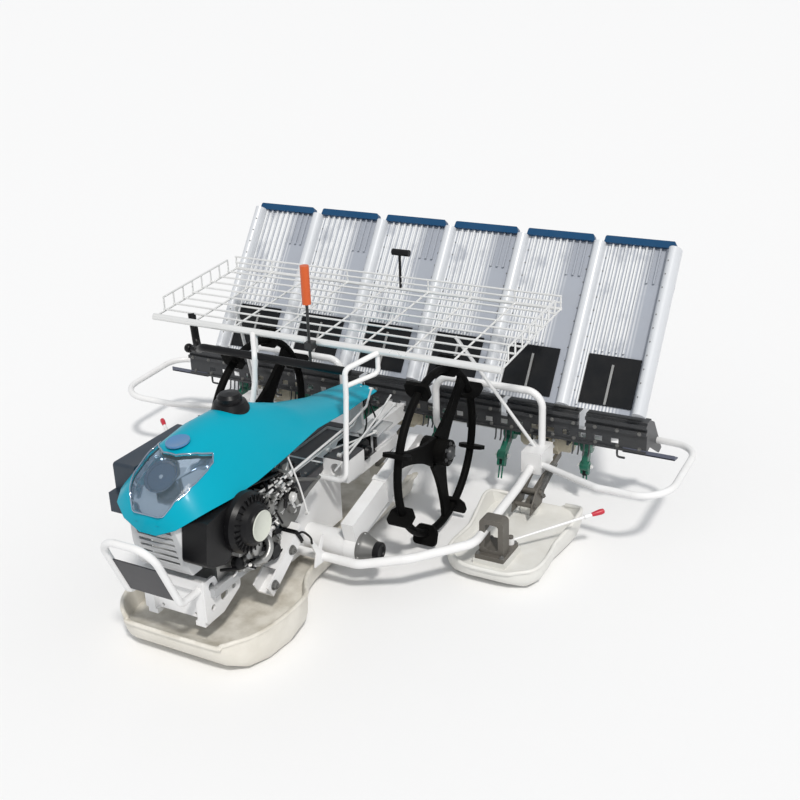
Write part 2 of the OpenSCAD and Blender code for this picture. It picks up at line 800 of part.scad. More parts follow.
// Frames over the deck that tie the junctions of the side tubes to the beam.
hoop_y = 552;
hoop_z = 460;
hoop_x = 620;
hoop_foot_x = 200;
junction_low = 180;
junction_top = 260;
junction_out = 650;
module junction_block() block([575, 468, junction_low], [junction_out, 585, junction_top]);
rack_rise = 40;
function cross_wire(i) = let (t = i / rack_cross_wires)
  [rack_front + t * rack_depth, rack_z + t * rack_rise + 2 * wire_radius - wire_bite];
module rack_hoop() {
  bent([[hoop_x, hoop_y, junction_top], [hoop_x, hoop_y, hoop_z], [hoop_foot_x, hoop_y, hoop_z],
        [hoop_foot_x, hoop_y, beam_z], [hoop_foot_x, beam_front, beam_z]],
       tube_radius - 2, [0, 60, 60, 50, 0]);
  difference() {
    junction_block();
    side_frame();
  }
  wire = cross_wire(3);
  difference() {
    rod([600, 530, junction_top], [440, wire.x, wire.y], 6);
    rod([300, wire.x, wire.y], [600, wire.x, wire.y], wire_radius);
    junction_block();
  }
}
module rack_hoops() color("white") {
  rack_hoop();
  other_side() rack_hoop();
}

// ---- seedling table, drawn flat and then tipped up ----
module on_slope() translate([table_park, table_y, table_z]) rotate([table_angle, 0, 0]) children();
// Station and height of a point by its distance up the slope and off the sheet.
function on_table(s, n) = [table_y + s * cos(table_angle) - n * sin(table_angle),
                           table_z + s * sin(table_angle) + n * cos(table_angle)];
table_half = sections * row_pitch / 2;
rib_pitch = 25;
belt_half = 95;
belt_low = 20;
belt_top = 200;
belt_thick = 6;
// Ribs of one section from its right to its left, by where each starts up the slope.
rib_starts = [10, 212, 212, 212, 212, 212, 480, 480, 480];
module table_tray() color("white") on_slope() {
  translate([-table_half, 0, -table_sheet]) cube([2 * table_half, table_length, table_sheet]);
  for (i = [0 : sections - 1], k = [0 : len(rib_starts) - 1])
    translate([(i + 0.5) * row_pitch - table_half + (k - 4) * rib_pitch - rib_width / 2,
               rib_starts[k], 0])
      cube([rib_width, table_length - rib_starts[k], rib_height]);
}
function ridge(height) = [for (k = [0 : 12]) let (a = k * 15)
  [divider_width / 2 * cos(a), height * pow(sin(a), 0.7)]];
module table_dividers() color("white") on_slope()
  for (i = [0 : sections])
    translate([i * row_pitch - table_half + (i == 0 ? 0.5 : i == sections ? -0.5 : 0) * divider_width, 0, 0])
      along_y(0, table_length)
        polygon(ridge(divider_height + (i == 0 || i == sections ? 12 : 0)));
module table_strips() color("midnightblue") on_slope()
  for (i = [0 : sections - 1])
    translate([i * row_pitch - table_half + 16, table_length, -12])
      linear_extrude(height = 30)
        polygon(rounded([[0, 0], [268, 0], [256, 26], [3, 26]], [0, 0, 6, 6]));
module feed_belts() color("black") on_slope()
  for (i = [0 : sections - 1])
    translate([(i + 0.5) * row_pitch - table_half - belt_half, belt_low, 0])
      cube([2 * belt_half, belt_top - belt_low, belt_thick]);

// Channels under the table, the shoes and bushes that slide on the two rails, and the belts' bars.
channel_depth = 30;
shoe_s = 28;
bush_x = 420;
module table_channel(s)
  translate([-table_half + 20, s - 20, -table_sheet - channel_depth])
    cube([2 * table_half - 40, 40, channel_depth]);
module table_frame() color("silver") {
  on_slope() {
    table_channel(shoe_s);
    table_channel(rail_s);
    for (i = [0 : sections])
      translate([(i - sections / 2) * row_pitch * 0.98 - 8, shoe_s, -table_sheet - 20])
        cube([16, table_length - shoe_s - 14, 20]);
    for (side = [-1, 1])
      difference() {
        union() {
          translate([side * bush_x - 30, rail_s, rail_n]) rotate([0, 90, 0]) cylinder(r = 22, h = 60);
          translate([side * bush_x - 8, rail_s - 12, rail_n]) cube([16, 24, 30]);
        }
        translate([side * bush_x - 31, rail_s, rail_n]) rotate([0, 90, 0])
          cylinder(r = table_rail_radius + slide_gap, h = 62);
      }
    for (i = [0 : sections - 1])
      translate([(i + 0.5) * row_pitch - table_half - 4, belt_low + 2, belt_thick])
        cube([8, 146, 5]);
  }
  for (x = [-600, 0, 600])
    block([table_park + x - 40, rail_y + 16, rail_top + slide_gap], [table_park + x + 40, rail_y + 40, 402]);
}

// ---- spare rack ----
wire_bite = 1;
post_radius = wire_radius - 0.3;
module spare_rack() color("white") {
  rear = rack_front + rack_depth;
  rear_z = rack_z + rack_rise;
  rack_front_tube();
  rod([-rack_half, rear, rear_z], [rack_half, rear, rear_z], 6);
  for (z = [fence_height / 2, fence_height])
    rod([-rack_half, rear, rear_z + z], [rack_half, rear, rear_z + z], wire_radius);
  for (i = [0 : rack_long_wires]) {
    x = (i / rack_long_wires * 2 - 1) * (rack_half - wire_radius);
    rod([x, rack_front, rack_z], [x, rear, rear_z], wire_radius);
    rod([x, rear, rear_z], [x, rear, rear_z + fence_height], post_radius);
  }
  for (i = [1 : rack_cross_wires - 1]) {
    wire = cross_wire(i);
    rod([-rack_half, wire.x, wire.y], [rack_half, wire.x, wire.y], wire_radius);
    for (side = [-1, 1])
      rod([side * (rack_half - wire_radius), wire.x, wire.y],
          [side * (rack_half - wire_radius), wire.x, wire.y + fence_height], post_radius);
  }
  first = cross_wire(1);
  final = cross_wire(rack_cross_wires - 1);
  for (side = [-1, 1])
    rod([side * (rack_half - wire_radius), first.x, first.y + fence_height],
        [side * (rack_half - wire_radius), final.x, final.y + fence_height], wire_radius);
}

// Sighting pole, clamped to the rack's front tube and standing on the cross tube.
pole_radius = 5;
module center_pole() color("orangered")
  difference() {
    union() {
      rod([0, cross_y, cross_z], [0, cross_y, 870], pole_radius);
      rod([0, cross_y, 870], [0, cross_y, 1000], 15);
      block([-14, cross_y - 10, rack_z - 16], [14, rack_front, rack_z + 8]);
    }
    rack_front_tube();
    cross_tube();
  }

// Cross tube with its knob and curved arm, and the lever on the rack's rear tube.
module control_levers() color("black") {
  wire = cross_wire(1);
  difference() {
    bent([[150, cross_y, cross_z], [-450, cross_y, cross_z], [-520, 92, 612], [-552, wire.x, wire.y]],
         cross_radius, [0, 50, 40, 0]);
    rod([-700, wire.x, wire.y], [-400, wire.x, wire.y], wire_radius);
  }
  rod([-524, 92, 614], [-560, 98, 612], 9);
  translate([-566, 99, 612]) sphere(r = 17);
  rear = rack_front + rack_depth;
  difference() {
    rod([56, rear, rack_z + rack_rise], [56, rear, 904], 5);
    rod([0, rear, rack_z + rack_rise], [100, rear, rack_z + rack_rise], 6);
    for (z = [fence_height / 2, fence_height])
      rod([0, rear, rack_z + rack_rise + z], [100, rear, rack_z + rack_rise + z], wire_radius);
  }
  rod([28, rear, 907], [96, rear, 907], 12);
}

// ---- guards, handles and markers ----
guard_tube = 12;
module side_guard() {
  reach = guard_reach - guard_tube;
  difference() {
    bent([[beam_half, beam_y, beam_z], [800, beam_y, beam_z], [880, 756, 262], [reach, 706, 278],
          [reach, 314, 258], [893, 352, 238], [600, 516, 206]],
         guard_tube, [0, 40, 50, 100, 100, 60, 0]);
    junction_block();
    block([500, 400, 100], [junction_out, 700, 300]);
  }
}
module side_guard_left() color("silver") side_guard();
module side_guard_right() color("silver") other_side() side_guard();

grip_y = 1290;
grip_z = 750;
handle_x = 250;
module handlebar() color("dimgray")
  for (side = [-1, 1])
    bent([[side * 190, beam_rear, beam_z], [side * 190, beam_rear + 100, beam_z], [side * handle_x, 1000, 420],
          [side * handle_x, 1090, grip_z], [side * handle_x, grip_y, grip_z]], handle_radius, 60);
module handle_grips() color("black")
  for (side = [-1, 1])
    rod([side * handle_x, grip_y, grip_z], [side * handle_x, rear_y, grip_z], 19);

// Row marker: an eye on its pin, a rod and a tapered tip.
marker_x = side_float_x + marker_reach_x;
marker_z = float_height + bracket_base + slide_gap;
marker_tip = [932, 326, 172];
module marker() {
  eye = [marker_x, marker_y, marker_z + eye_height / 2];
  along = unit(marker_tip - eye);
  difference() {
    union() {
      translate([marker_x, marker_y, marker_z]) cylinder(r = 13, h = eye_height);
      rod(eye, marker_tip - along * 70, 4.5);
      translate(marker_tip - along * 70)
        rotate([0, acos(along.z), atan2(along.y, along.x)])
          cylinder(r1 = 8, r2 = 4, h = 70);
    }
    translate([marker_x, marker_y, marker_z - 1]) cylinder(r = pin_radius + slide_gap, h = eye_height + 2);
  }
}
module marker_left() color("silver") marker();
module marker_right() color("silver") other_side() marker();

module placed() translate([0, -origin_y, 0]) children();

placed() chassis_bed();
placed() front_plate();
placed() front_guard();
placed() guard_panel();
placed() grille();
placed() hood();
placed() headlamp();
placed() fuel_cap();
placed() side_cover();
placed() engine_block();
placed() recoil_starter();
placed() engine_cover();
placed() muffler();
placed() transmission();
placed() side_plates();
placed() main_beam();
placed() swing_arm_left();
placed() swing_arm_right();
placed() wheel_left();
placed() wheel_right();
placed() center_float();
placed() side_float_left();
placed() side_float_right();
placed() float_brackets();
placed() side_frame_left();
placed() side_frame_right();
placed() planting_beam();
placed() planting_cases();
placed() planting_arms();
placed() guide_rail();
placed() table_tray();
placed() table_dividers();
placed() table_strips();
placed() feed_belts();
placed() table_frame();
placed() spare_rack();
placed() rack_legs();
placed() rack_hoops();
placed() center_pole();
placed() control_levers();
placed() side_guard_left();
placed() side_guard_right();
placed() handlebar();
placed() handle_grips();
placed() marker_left();
placed() marker_right();
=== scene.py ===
"""Looks of the six-row walking rice transplanter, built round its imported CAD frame.

Lengths are metres in the row frame: +X is the machine's own left, -Y its front, +Z up.
"""

import json
import math

import bpy
import numpy as np
from mathutils import Matrix, Vector


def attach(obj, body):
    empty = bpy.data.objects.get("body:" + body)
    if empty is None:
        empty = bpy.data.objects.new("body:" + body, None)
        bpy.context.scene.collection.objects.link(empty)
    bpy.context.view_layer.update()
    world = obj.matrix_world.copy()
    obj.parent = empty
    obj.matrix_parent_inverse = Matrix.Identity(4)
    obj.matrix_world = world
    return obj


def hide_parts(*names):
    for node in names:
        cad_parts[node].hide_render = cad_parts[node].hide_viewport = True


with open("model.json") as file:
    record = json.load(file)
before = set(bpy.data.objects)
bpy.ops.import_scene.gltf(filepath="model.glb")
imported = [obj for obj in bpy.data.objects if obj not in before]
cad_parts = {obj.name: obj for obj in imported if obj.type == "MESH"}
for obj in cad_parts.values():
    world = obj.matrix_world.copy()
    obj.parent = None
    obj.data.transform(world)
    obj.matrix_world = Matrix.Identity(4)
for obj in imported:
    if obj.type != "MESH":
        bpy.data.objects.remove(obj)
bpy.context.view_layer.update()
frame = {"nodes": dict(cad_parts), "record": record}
nodes = frame["nodes"]
SLOT_OF = {part["node"]: part["material_slot"] for part in frame["record"]["subparts"]}
BODY_OF = {node: body for body, members in frame["record"]["behaviour"]["bodies"].items() for node in members}


def placed(name, data):
    """A new object of the scene, made of that data."""
    obj = bpy.data.objects.new(name, data)
    bpy.context.scene.collection.objects.link(obj)
    return obj


# ---- camera
VIEWER = Vector((2.001, -3.229, 2.041))
YAW, PITCH, ROLL = math.radians(29.25), math.radians(22.12), math.radians(-2.24)
FOCAL_SHARE = 1.4547          # focal length as a share of the picture's width
SHIFT = (0.0109, -0.0172)     # where the optical axis meets the picture, as shares of its width


def make_camera():
    """Stands at the viewer's place: yawed to the machine's right, pitched down and rolled a little."""
    data = bpy.data.cameras.new("camera")
    data.lens = data.sensor_width * FOCAL_SHARE
    data.shift_x, data.shift_y = SHIFT
    data.clip_start, data.clip_end = 0.05, 400.0
    camera = placed("camera", data)
    turn = Matrix.Rotation(YAW, 4, "Z") @ Matrix.Rotation(math.pi / 2 - PITCH, 4, "X")
    camera.matrix_world = Matrix.Translation(VIEWER) @ turn @ Matrix.Rotation(ROLL, 4, "Z")
    bpy.context.scene.camera = camera


# ---- shader nodes
def fill(tree, node, values):
    """Puts a number, a colour or a link from a socket on each of these inputs of a node."""
    for label, value in values.items():
        if isinstance(value, bpy.types.NodeSocket):
            tree.links.new(value, node.inputs[label])
        else:
            node.inputs[label].default_value = (*value, 1.0) if isinstance(value, tuple) else value
    return node


def add(tree, kind, values, **settings):
    """A new node of a kind, with settings and values on its inputs."""
    node = tree.nodes.new("ShaderNode" + kind)
    for label, value in settings.items():
        setattr(node, label, value)
    return fill(tree, node, values)


def new_group(name, outputs, **inputs):
    """An empty node group with a Vector input and those sockets; its source sockets and its sink node."""
    group = bpy.data.node_groups.new(name, "ShaderNodeTree")
    for way, kinds in (("INPUT", {"Vector": "Vector", **inputs}), ("OUTPUT", outputs)):
        for label, kind in kinds.items():
            group.interface.new_socket(label, in_out=way, socket_type="NodeSocket" + kind)
    return group, group.nodes.new("NodeGroupInput").outputs, group.nodes.new("NodeGroupOutput")


def maths(tree, operation, a, b=0.5, clamp=False):
    """The value of a and b, numbers or sockets, put through a Math node."""
    return add(tree, "Math", {0: a, 1: b}, operation=operation, use_clamp=clamp).outputs[0]


def noise(tree, vector, scale, detail=4.0, rough=0.55):
    """A noise texture's value on a vector; scale is in features per metre."""
    return add(tree, "TexNoise", dict(Vector=vector, Scale=scale, Detail=detail, Roughness=rough)).outputs[0]


def ramp(tree, value, low, high):
    """Value stretched so that low becomes 0 and high becomes 1, clamped."""
    return add(tree, "MapRange", {"Value": value, "From Min": low, "From Max": high}).outputs[0]


def mix_colour(tree, factor, a, b):
    """Colours a and b mixed by a factor socket; each is a tuple or a socket."""
    return add(tree, "Mix", {0: factor, 6: a, 7: b}, data_type="RGBA").outputs[2]


def axis_value(tree, vector, axis):
    """One coordinate of a vector socket, named by its letter."""
    return add(tree, "SeparateXYZ", {0: vector}).outputs[axis]


def make_mottle():
    """Slow and fast noise summed round zero, for an uneven colour and roughness."""
    group, source, sink = new_group("mottle", dict(Value="Float"))
    slow, fast = noise(group, source["Vector"], 5.0), noise(group, source["Vector"], 60.0)
    total = maths(group, "ADD", maths(group, "MULTIPLY", slow, 0.7), maths(group, "MULTIPLY", fast, 0.3))
    fill(group, sink, dict(Value=maths(group, "SUBTRACT", total, 0.5)))
    return group


def make_edges():
    """Rounds edges in shading, with a broken mask where the rounded normal leaves the true one."""
    group, source, sink = new_group("edges", dict(Mask="Float", Normal="Vector"), Radius="Float")
    rounded = add(group, "Bevel", dict(Radius=source["Radius"]), samples=4).outputs[0]
    true = add(group, "NewGeometry", {}).outputs["Normal"]
    dot = add(group, "VectorMath", {0: rounded, 1: true}, operation="DOT_PRODUCT").outputs["Value"]
    bend = ramp(group, maths(group, "SUBTRACT", 1.0, dot), 0.04, 0.25)
    broken = ramp(group, noise(group, source["Vector"], 90.0), 0.42, 0.62)
    fill(group, sink, dict(Mask=maths(group, "MULTIPLY", bend, broken), Normal=rounded))
    return group


def make_dust():
    """Mask of dust and dried mud: strongest on faces that look up, broken by noise."""
    group, source, sink = new_group("dust", dict(Mask="Float"), Amount="Float")
    upward = ramp(group, axis_value(group, add(group, "NewGeometry", {}).outputs["Normal"], "Z"), -0.2, 1.0)
    patches = ramp(group, noise(group, source["Vector"], 14.0, 6.0), 0.38, 0.72)
    cover = maths(group, "MULTIPLY", maths(group, "ADD", upward, 0.25), patches)
    fill(group, sink, dict(Mask=maths(group, "MULTIPLY", cover, source["Amount"], True)))
    return group


def make_grain():
    """Fine noise as a height in metres, for cast and moulded faces."""
    group, source, sink = new_group("grain", dict(Height="Float"), Scale="Float", Depth="Float")
    fine = noise(group, source["Vector"], source["Scale"], 3.0)
    fill(group, sink, dict(Height=maths(group, "MULTIPLY", fine, source["Depth"])))
    return group


def use_group(tree, group, **values):
    """Outputs of a group placed in a material, with numbers or sockets on its inputs."""
    return add(tree, "Group", values, node_tree=group).outputs


def rib_highlight_mask(tree, place, start, pitch, half, section, share):
    """Painted highlight on the tray's rib crests: 1 on stripes across x in the first share of each section,
    soft at their edges, fading out as painted shade past that share and broken in patches by noise.
    """
    along = maths(tree, "SUBTRACT", axis_value(tree, place, "X"), start)
    turn = maths(tree, "ADD", maths(tree, "DIVIDE", along, pitch), 20.5)
    off = maths(tree, "ABSOLUTE", maths(tree, "SUBTRACT", maths(tree, "FRACT", turn), 0.5))
    stripe = ramp(tree, off, half / pitch + 0.04, half / pitch)
    phase = maths(tree, "FRACT", maths(tree, "ADD", maths(tree, "DIVIDE", along, section), 10.0))
    highlight_fade = ramp(tree, phase, share + 0.16, share)
    patchy = ramp(tree, noise(tree, place, 9.0), 0.24, 0.46)
    return maths(tree, "MULTIPLY", maths(tree, "MULTIPLY", stripe, highlight_fade), patchy)


# ---- finishes
MOTTLE, EDGES, DUST, GRAIN = make_mottle(), make_edges(), make_dust(), make_grain()
DUST_COLOUR = (0.4, 0.36, 0.28)
BARE_METAL = (0.42, 0.41, 0.4)
EDGE_RADIUS = 0.0012          # of every rounded edge, in metres
COAT_ROUGH = 0.12


def finish_of(name, colour, rough, dust, metallic=0.0, coat=0.0, tone=0.12, worn=None, grain=(300.0, 0.0),
              alpha=1.0, specular=0.5, below=None, ribs=None, rings=None):
    """One finish: a mottled base colour, worn through at edges to `worn`, grained and lightly dusty.

    below is (height, colour) for a second colour under that height; ribs is (start, pitch, half width,
    section, share, colour) for painted highlight stripes across x, which stand in for lit rib crests; rings
    is (pitch, depth) for ridges across y.
    """
    material = bpy.data.materials.new(name)
    material.use_nodes = True
    tree = material.node_tree
    place = add(tree, "TexCoord", {}).outputs["Object"]
    mottle = use_group(tree, MOTTLE, Vector=place)["Value"]
    edges = use_group(tree, EDGES, Vector=place, Radius=EDGE_RADIUS)
    light = tuple(min(1.0, c * (1 + tone)) for c in colour)
    dark = tuple(c * (1 - tone) for c in colour)
    base = mix_colour(tree, maths(tree, "ADD", mottle, 0.5, True), dark, light)
    if below:
        low = maths(tree, "LESS_THAN", axis_value(tree, place, "Z"), below[0])
        base = mix_colour(tree, low, base, below[1])
    if ribs:
        # the rib stripes are painted highlight, drawn only on the first share of each section and left as
        # painted shade past it
        base = mix_colour(tree, rib_highlight_mask(tree, place, *ribs[:5]), base, ribs[5])
    if worn:
        base = mix_colour(tree, edges["Mask"], base, worn)
    if dust > 0:
        base = mix_colour(tree, use_group(tree, DUST, Vector=place, Amount=dust)["Mask"], base, DUST_COLOUR)
    uneven = maths(tree, "ADD", maths(tree, "MULTIPLY", mottle, 0.25), rough, True)
    height = use_group(tree, GRAIN, Vector=place, Scale=grain[0], Depth=grain[1])["Height"]
    if rings:
        turn = maths(tree, "MULTIPLY", axis_value(tree, place, "Y"), 2 * math.pi / rings[0])
        wave = maths(tree, "MULTIPLY", maths(tree, "SINE", turn), rings[1])
        height = maths(tree, "ADD", height, wave)
    bump = add(tree, "Bump", dict(Distance=1.0, Height=height, Normal=edges["Normal"]))
    fill(tree, tree.nodes["Principled BSDF"],
         {"Base Color": base, "Roughness": uneven, "Normal": bump.outputs[0], "Metallic": metallic,
          "Alpha": alpha, "Coat Weight": coat, "Coat Roughness": COAT_ROUGH, "Specular IOR Level": specular})
    return material


FINISHES = {      # colour, roughness and dust of each, and whatever else it has
    "hood_teal": ((0.0, 0.335, 0.455), 0.34, 0.0, dict(coat=0.04, tone=0.05, specular=0.12)),
    "white_paint": ((0.8, 0.8, 0.8), 0.36, 0.1, dict(coat=0.2, tone=0.05, worn=BARE_METAL)),
    "grey_paint": ((0.42, 0.43, 0.44), 0.42, 0.15, dict(worn=BARE_METAL)),
    "dark_steel": ((0.04, 0.042, 0.046), 0.4, 0.05, dict(metallic=0.2, worn=(0.2, 0.2, 0.2))),
    "cast_metal": ((0.3, 0.3, 0.29), 0.5, 0.1, dict(metallic=0.35, grain=(420.0, 0.0004))),
    "raw_aluminium": ((0.4, 0.4, 0.39), 0.36, 0.05, dict(metallic=0.75, grain=(300.0, 0.0003))),
    "plated_wire": ((0.8, 0.8, 0.79), 0.3, 0.03, dict(metallic=0.35)),
    "black_plastic": ((0.004, 0.004, 0.005), 0.38, 0.01, dict(grain=(500.0, 0.0002), specular=0.25)),
    "clear_lens": ((0.55, 0.75, 0.85), 0.04, 0.0, dict(coat=0.15, tone=0.0, alpha=0.04, specular=0.25)),
    "white_plastic": ((0.66, 0.67, 0.68), 0.34, 0.05, dict(tone=0.05)),
    # tray_plastic's ribs entry paints white highlight stripes on the rib crests, only over the first share of
    # each section
    "tray_plastic": ((0.36, 0.385, 0.435), 0.34, 0.04, dict(
        tone=0.06, ribs=(0.078, 0.0125, 0.0031, 0.3, 0.54, (0.8, 0.81, 0.82)))),
    "grip_rubber": ((0.006, 0.006, 0.007), 0.55, 0.02, dict(specular=0.25, rings=(0.008, 0.0006))),
    "pole_orange": ((0.62, 0.1, 0.015), 0.36, 0.0, dict(below=(0.868, (0.02, 0.02, 0.02)))),
    "cover_slate": ((0.022, 0.034, 0.05), 0.4, 0.03, dict(specular=0.4, grain=(500.0, 0.0002))),
    "rib_plastic": ((0.62, 0.64, 0.67), 0.34, 0.05, dict(tone=0.05)),
    "blue_plastic": ((0.004, 0.055, 0.14), 0.36, 0.02, dict(specular=0.3)),
    "float_plastic": ((0.76, 0.73, 0.66), 0.48, 0.62, dict(tone=0.07, grain=(260.0, 0.0004))),
    "float_clean": ((0.74, 0.735, 0.7), 0.46, 0.16, dict(tone=0.05, grain=(260.0, 0.0004))),
    "green_paint": ((0.003, 0.12, 0.075), 0.34, 0.04, dict(coat=0.2, worn=BARE_METAL)),
    "belt_rubber": ((0.006, 0.007, 0.009), 0.6, 0.02, dict(specular=0.2)),
    "wheel_rubber": ((0.0035, 0.0035, 0.0035), 0.55, 0.006, dict(grain=(260.0, 0.0005), specular=0.05)),
    "brown_panel": ((0.045, 0.045, 0.05), 0.5, 0.04),
    "lamp_silver": ((0.36, 0.44, 0.54), 0.12, 0.0, dict(metallic=0.85)),
    "lamp_blue": ((0.018, 0.04, 0.085), 0.12, 0.0, dict(coat=0.5)),
    "badge_blue": ((0.07, 0.2, 0.4), 0.25, 0.0, dict(coat=0.5)),
    "pale_disc": ((0.6, 0.62, 0.55), 0.35, 0.03),
    "bell_grey": ((0.16, 0.16, 0.155), 0.42, 0.05, dict(metallic=0.4, worn=BARE_METAL)),
    "bracket_grey": ((0.13, 0.12, 0.105), 0.5, 0.1, dict(metallic=0.3, worn=BARE_METAL)),
    "case_cream": ((0.52, 0.47, 0.36), 0.5, 0.1, dict(grain=(420.0, 0.0004))),
    "slate_paint": ((0.09, 0.1, 0.14), 0.4, 0.05),
    "red_tip": ((0.5, 0.02, 0.04), 0.35, 0.02),
}
OWN_LOOKS = {     # the nodes that don't look as their slot does
    "transmission": "white_paint", "table_dividers": "rib_plastic", "front_plate": "white_paint",
    "float_brackets": "bracket_grey", "planting_cases": "case_cream", "table_tray": "tray_plastic",
    "side_float_left": "float_clean", "side_float_right": "float_clean", "handle_grips": "grip_rubber",
    "center_pole": "pole_orange", "side_cover": "cover_slate"}
finishes = {name: finish_of(name, *look[:3], **dict(*look[3:])) for name, look in FINISHES.items()}
for node, slot in SLOT_OF.items():
    nodes[node].data.materials.clear()
    nodes[node].data.materials.append(finishes[OWN_LOOKS.get(node, slot)])


# ---- shapes from arrays
def unit(v):
    """Vectors along the last axis, scaled to length one."""
    v = np.asarray(v, float)
    return v / np.maximum(np.linalg.norm(v, axis=-1, keepdims=True), 1e-12)


def square_to(axis):
    """Unit vector square to an axis: its cross product with the coordinate axis it leans on least."""
    return unit(np.cross(axis, np.eye(3)[np.argmin(np.abs(axis))]))


def ring_faces(rings, sides):
    """Quads round a stack of closed rings, and a flat face over each end."""
    i, j = np.meshgrid(np.arange(rings - 1) * sides, np.arange(sides), indexing="ij")
    k = (j + 1) % sides
    quads = np.stack([i + j, i + k, i + sides + k, i + sides + j], axis=-1).reshape(-1, 4).tolist()
    return quads + [list(range(sides))[::-1], list(range((rings - 1) * sides, rings * sides))]


def round_skin(centres, radii, n, b, sides):
    """Circles c + r (cos a n + sin a b) round a row of centres, skinned and closed at both ends."""
    a = np.linspace(0, 2 * np.pi, sides, endpoint=False)[:, None]
    ring = centres[:, None] + radii[:, None, None] * (np.cos(a) * n[:, None] + np.sin(a) * b[:, None])
    return ring.reshape(-1, 3), ring_faces(len(centres), sides)


def curve(points, steps=8):
    """Catmull-Rom curve through the points: each span's cubic takes its neighbours' chords for slopes."""
    p = np.asarray(points, float)
    p = np.vstack([2 * p[0] - p[1], p, 2 * p[-1] - p[-2]])
    t = np.linspace(0, 1, steps, endpoint=False)[:, None, None]
    a, b, c, d = p[:-3], p[1:-2], p[2:-1], p[3:]
    q = 0.5 * (2 * b + (c - a) * t + (2 * a - 5 * b + 4 * c - d) * t ** 2 + (3 * b - a - 3 * c + d) * t ** 3)
    return np.vstack([q.transpose(1, 0, 2).reshape(-1, 3), p[-2:-1]])


def tube(path, radius, sides=10):
    """Circle carried along a path, its frame at each point the last one turned as little as can be."""
    path = np.asarray(path, float)
    t = unit(np.gradient(path, axis=0))
    n = [square_to(t[0])]
    for way in t[1:]:
        n.append(unit(n[-1] - way * np.dot(n[-1], way)))
    n = np.array(n)
    return round_skin(path, np.full(len(path), radius), n, np.cross(t, n), sides)


def lathe(profile, centre, axis, sides=32):
    """Profile of (distance along the axis, radius) pairs turned about an axis through the centre."""
    profile, axis = np.asarray(profile, float), unit(axis)
    side = square_to(axis)
    centres = np.asarray(centre) + profile[:, :1] * axis
    return round_skin(centres, profile[:, 1], side[None], np.cross(axis, side)[None], sides)


def prism(outline, depth, origin, across, up):
    """Flat outline of (across, up) pairs, drawn out by depth along across x up from the origin."""
    outline = np.asarray(outline, float)
    low = np.asarray(origin) + outline[:, :1] * np.array(across) + outline[:, 1:] * np.array(up)
    high = low + depth * np.cross(across, up)
    return np.vstack([low, high]), ring_faces(2, len(outline))


def joined(shapes):
    """Several shapes as one set of points and faces."""
    points, faces, base = [], [], 0
    for p, f in shapes:
        points.append(p)
        faces += [[i + base for i in face] for face in f]
        base += len(p)
    return np.vstack(points), faces


def repeated(shape, moves):
    """A shape copied by each (turn, shift) of a list of 3x3 arrays and offsets."""
    return joined([(shape[0] @ turn.T + shift, shape[1]) for turn, shift in moves])


def facing(normal):
    """3x3 turn that takes +Z to a normal."""
    z = unit(normal)
    x = -square_to(z)
    return np.stack([x, np.cross(z, x), z], axis=1)


def piece(name, shape, finish, body="chassis", smooth=30, bevel=0.0):
    """An object of a shape or a list of them, riding on a body.

    Smooth up to a crease angle in degrees, or flat with its edges bevelled by so many metres.
    """
    points, faces = joined(shape) if isinstance(shape, list) else shape
    mesh = bpy.data.meshes.new(name)
    mesh.from_pydata(points.tolist(), [], faces)
    mesh.update()
    mesh.materials.append(finishes[finish])
    obj = placed(name, mesh)
    if bevel:
        cut = obj.modifiers.new("bevel", "BEVEL")
        cut.width, cut.segments, cut.limit_method = bevel, 2, "ANGLE"
    else:
        mesh.polygons.foreach_set("use_smooth", [True] * len(mesh.polygons))
        mesh.set_sharp_from_angle(angle=math.radians(smooth))
    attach(obj, body)
    return obj


BOLT_SINK = 0.0004     # how far a washer sits into the face under it, in metres
BOLT = (([(0, 0.62), (0.12, 0.62)], 14), ([(0.12, 0.5), (0.42, 0.5), (0.48, 0.43)], 6),
        ([(0.48, 0.2), (0.66, 0.2)], 8))      # profiles of washer, hexagon and thread, and their sides


def bolt(size):
    """Washer, hexagon and thread end, standing on z = 0; size is across the hexagon's corners."""
    return joined([lathe(size * np.array(profile), (0, 0, 0), (0, 0, 1), sides) for profile, sides in BOLT])


def seat(names, start, way):
    """Where a ray from a point first meets one of the named nodes, and the face's normal there."""
    found = []
    for obj in (nodes[name] for name in names):
        inverse = obj.matrix_world.inverted()
        hit, place, normal, _ = obj.ray_cast(inverse @ Vector(start), inverse.to_3x3() @ Vector(way))
        if hit:
            place = obj.matrix_world @ place
            gap = (place - Vector(start)).length
            found.append((gap, np.array(place), unit(obj.matrix_world.to_3x3() @ normal)))
    return min(found, key=lambda f: f[0])[1:] if found else None


def seated(targets, starts, way, sink=0.0):
    """Turn and shift for each ray that meets a target node: square to the face there, sunk so far into it."""
    found = [seat(targets, start, way) for start in starts]
    return [(facing(hit[1]), hit[0] - sink * hit[1]) for hit in found if hit is not None]


def bolts(name, target, places, way, size):
    """Grey bolts where rays from the places, all going one way, first meet a target node."""
    piece(name, repeated(bolt(size), seated([target], places, way, BOLT_SINK)), "bell_grey")


# ---- shapes in the drawings' millimetres
MIDDLE_Y = 229.0      # the row frame's origin lies this far behind the drawings' own
SIDEWAYS = facing((1, 0, 0))


def at(x, y, z):
    """A place in the drawings' millimetres, in metres of the row frame."""
    return np.array((x, y - MIDDLE_Y, z)) / 1000.0


def route(places, steps=8):
    """Smooth curve through places in mm."""
    return curve([at(*p) for p in places], steps)


def hose(places, radius, steps=8, sides=8):
    """Tube along the smooth curve through places in mm."""
    return tube(route(places, steps), radius, sides)


def rod(places, radius, sides=8):
    """Tube straight from place to place in mm."""
    return tube([at(*p) for p in places], radius, sides)


def spun(profile, place, sides, way=(1, 0, 0)):
    """Lathe with its profile and place in mm, about an axis along x if no way is given."""
    return lathe(np.array(profile) / 1000, at(*place), way, sides)


def sleeves(places, half, radius):
    """Short plain sleeves along x round places in mm."""
    return [spun([(-half, radius), (half, radius)], p, 12) for p in places]


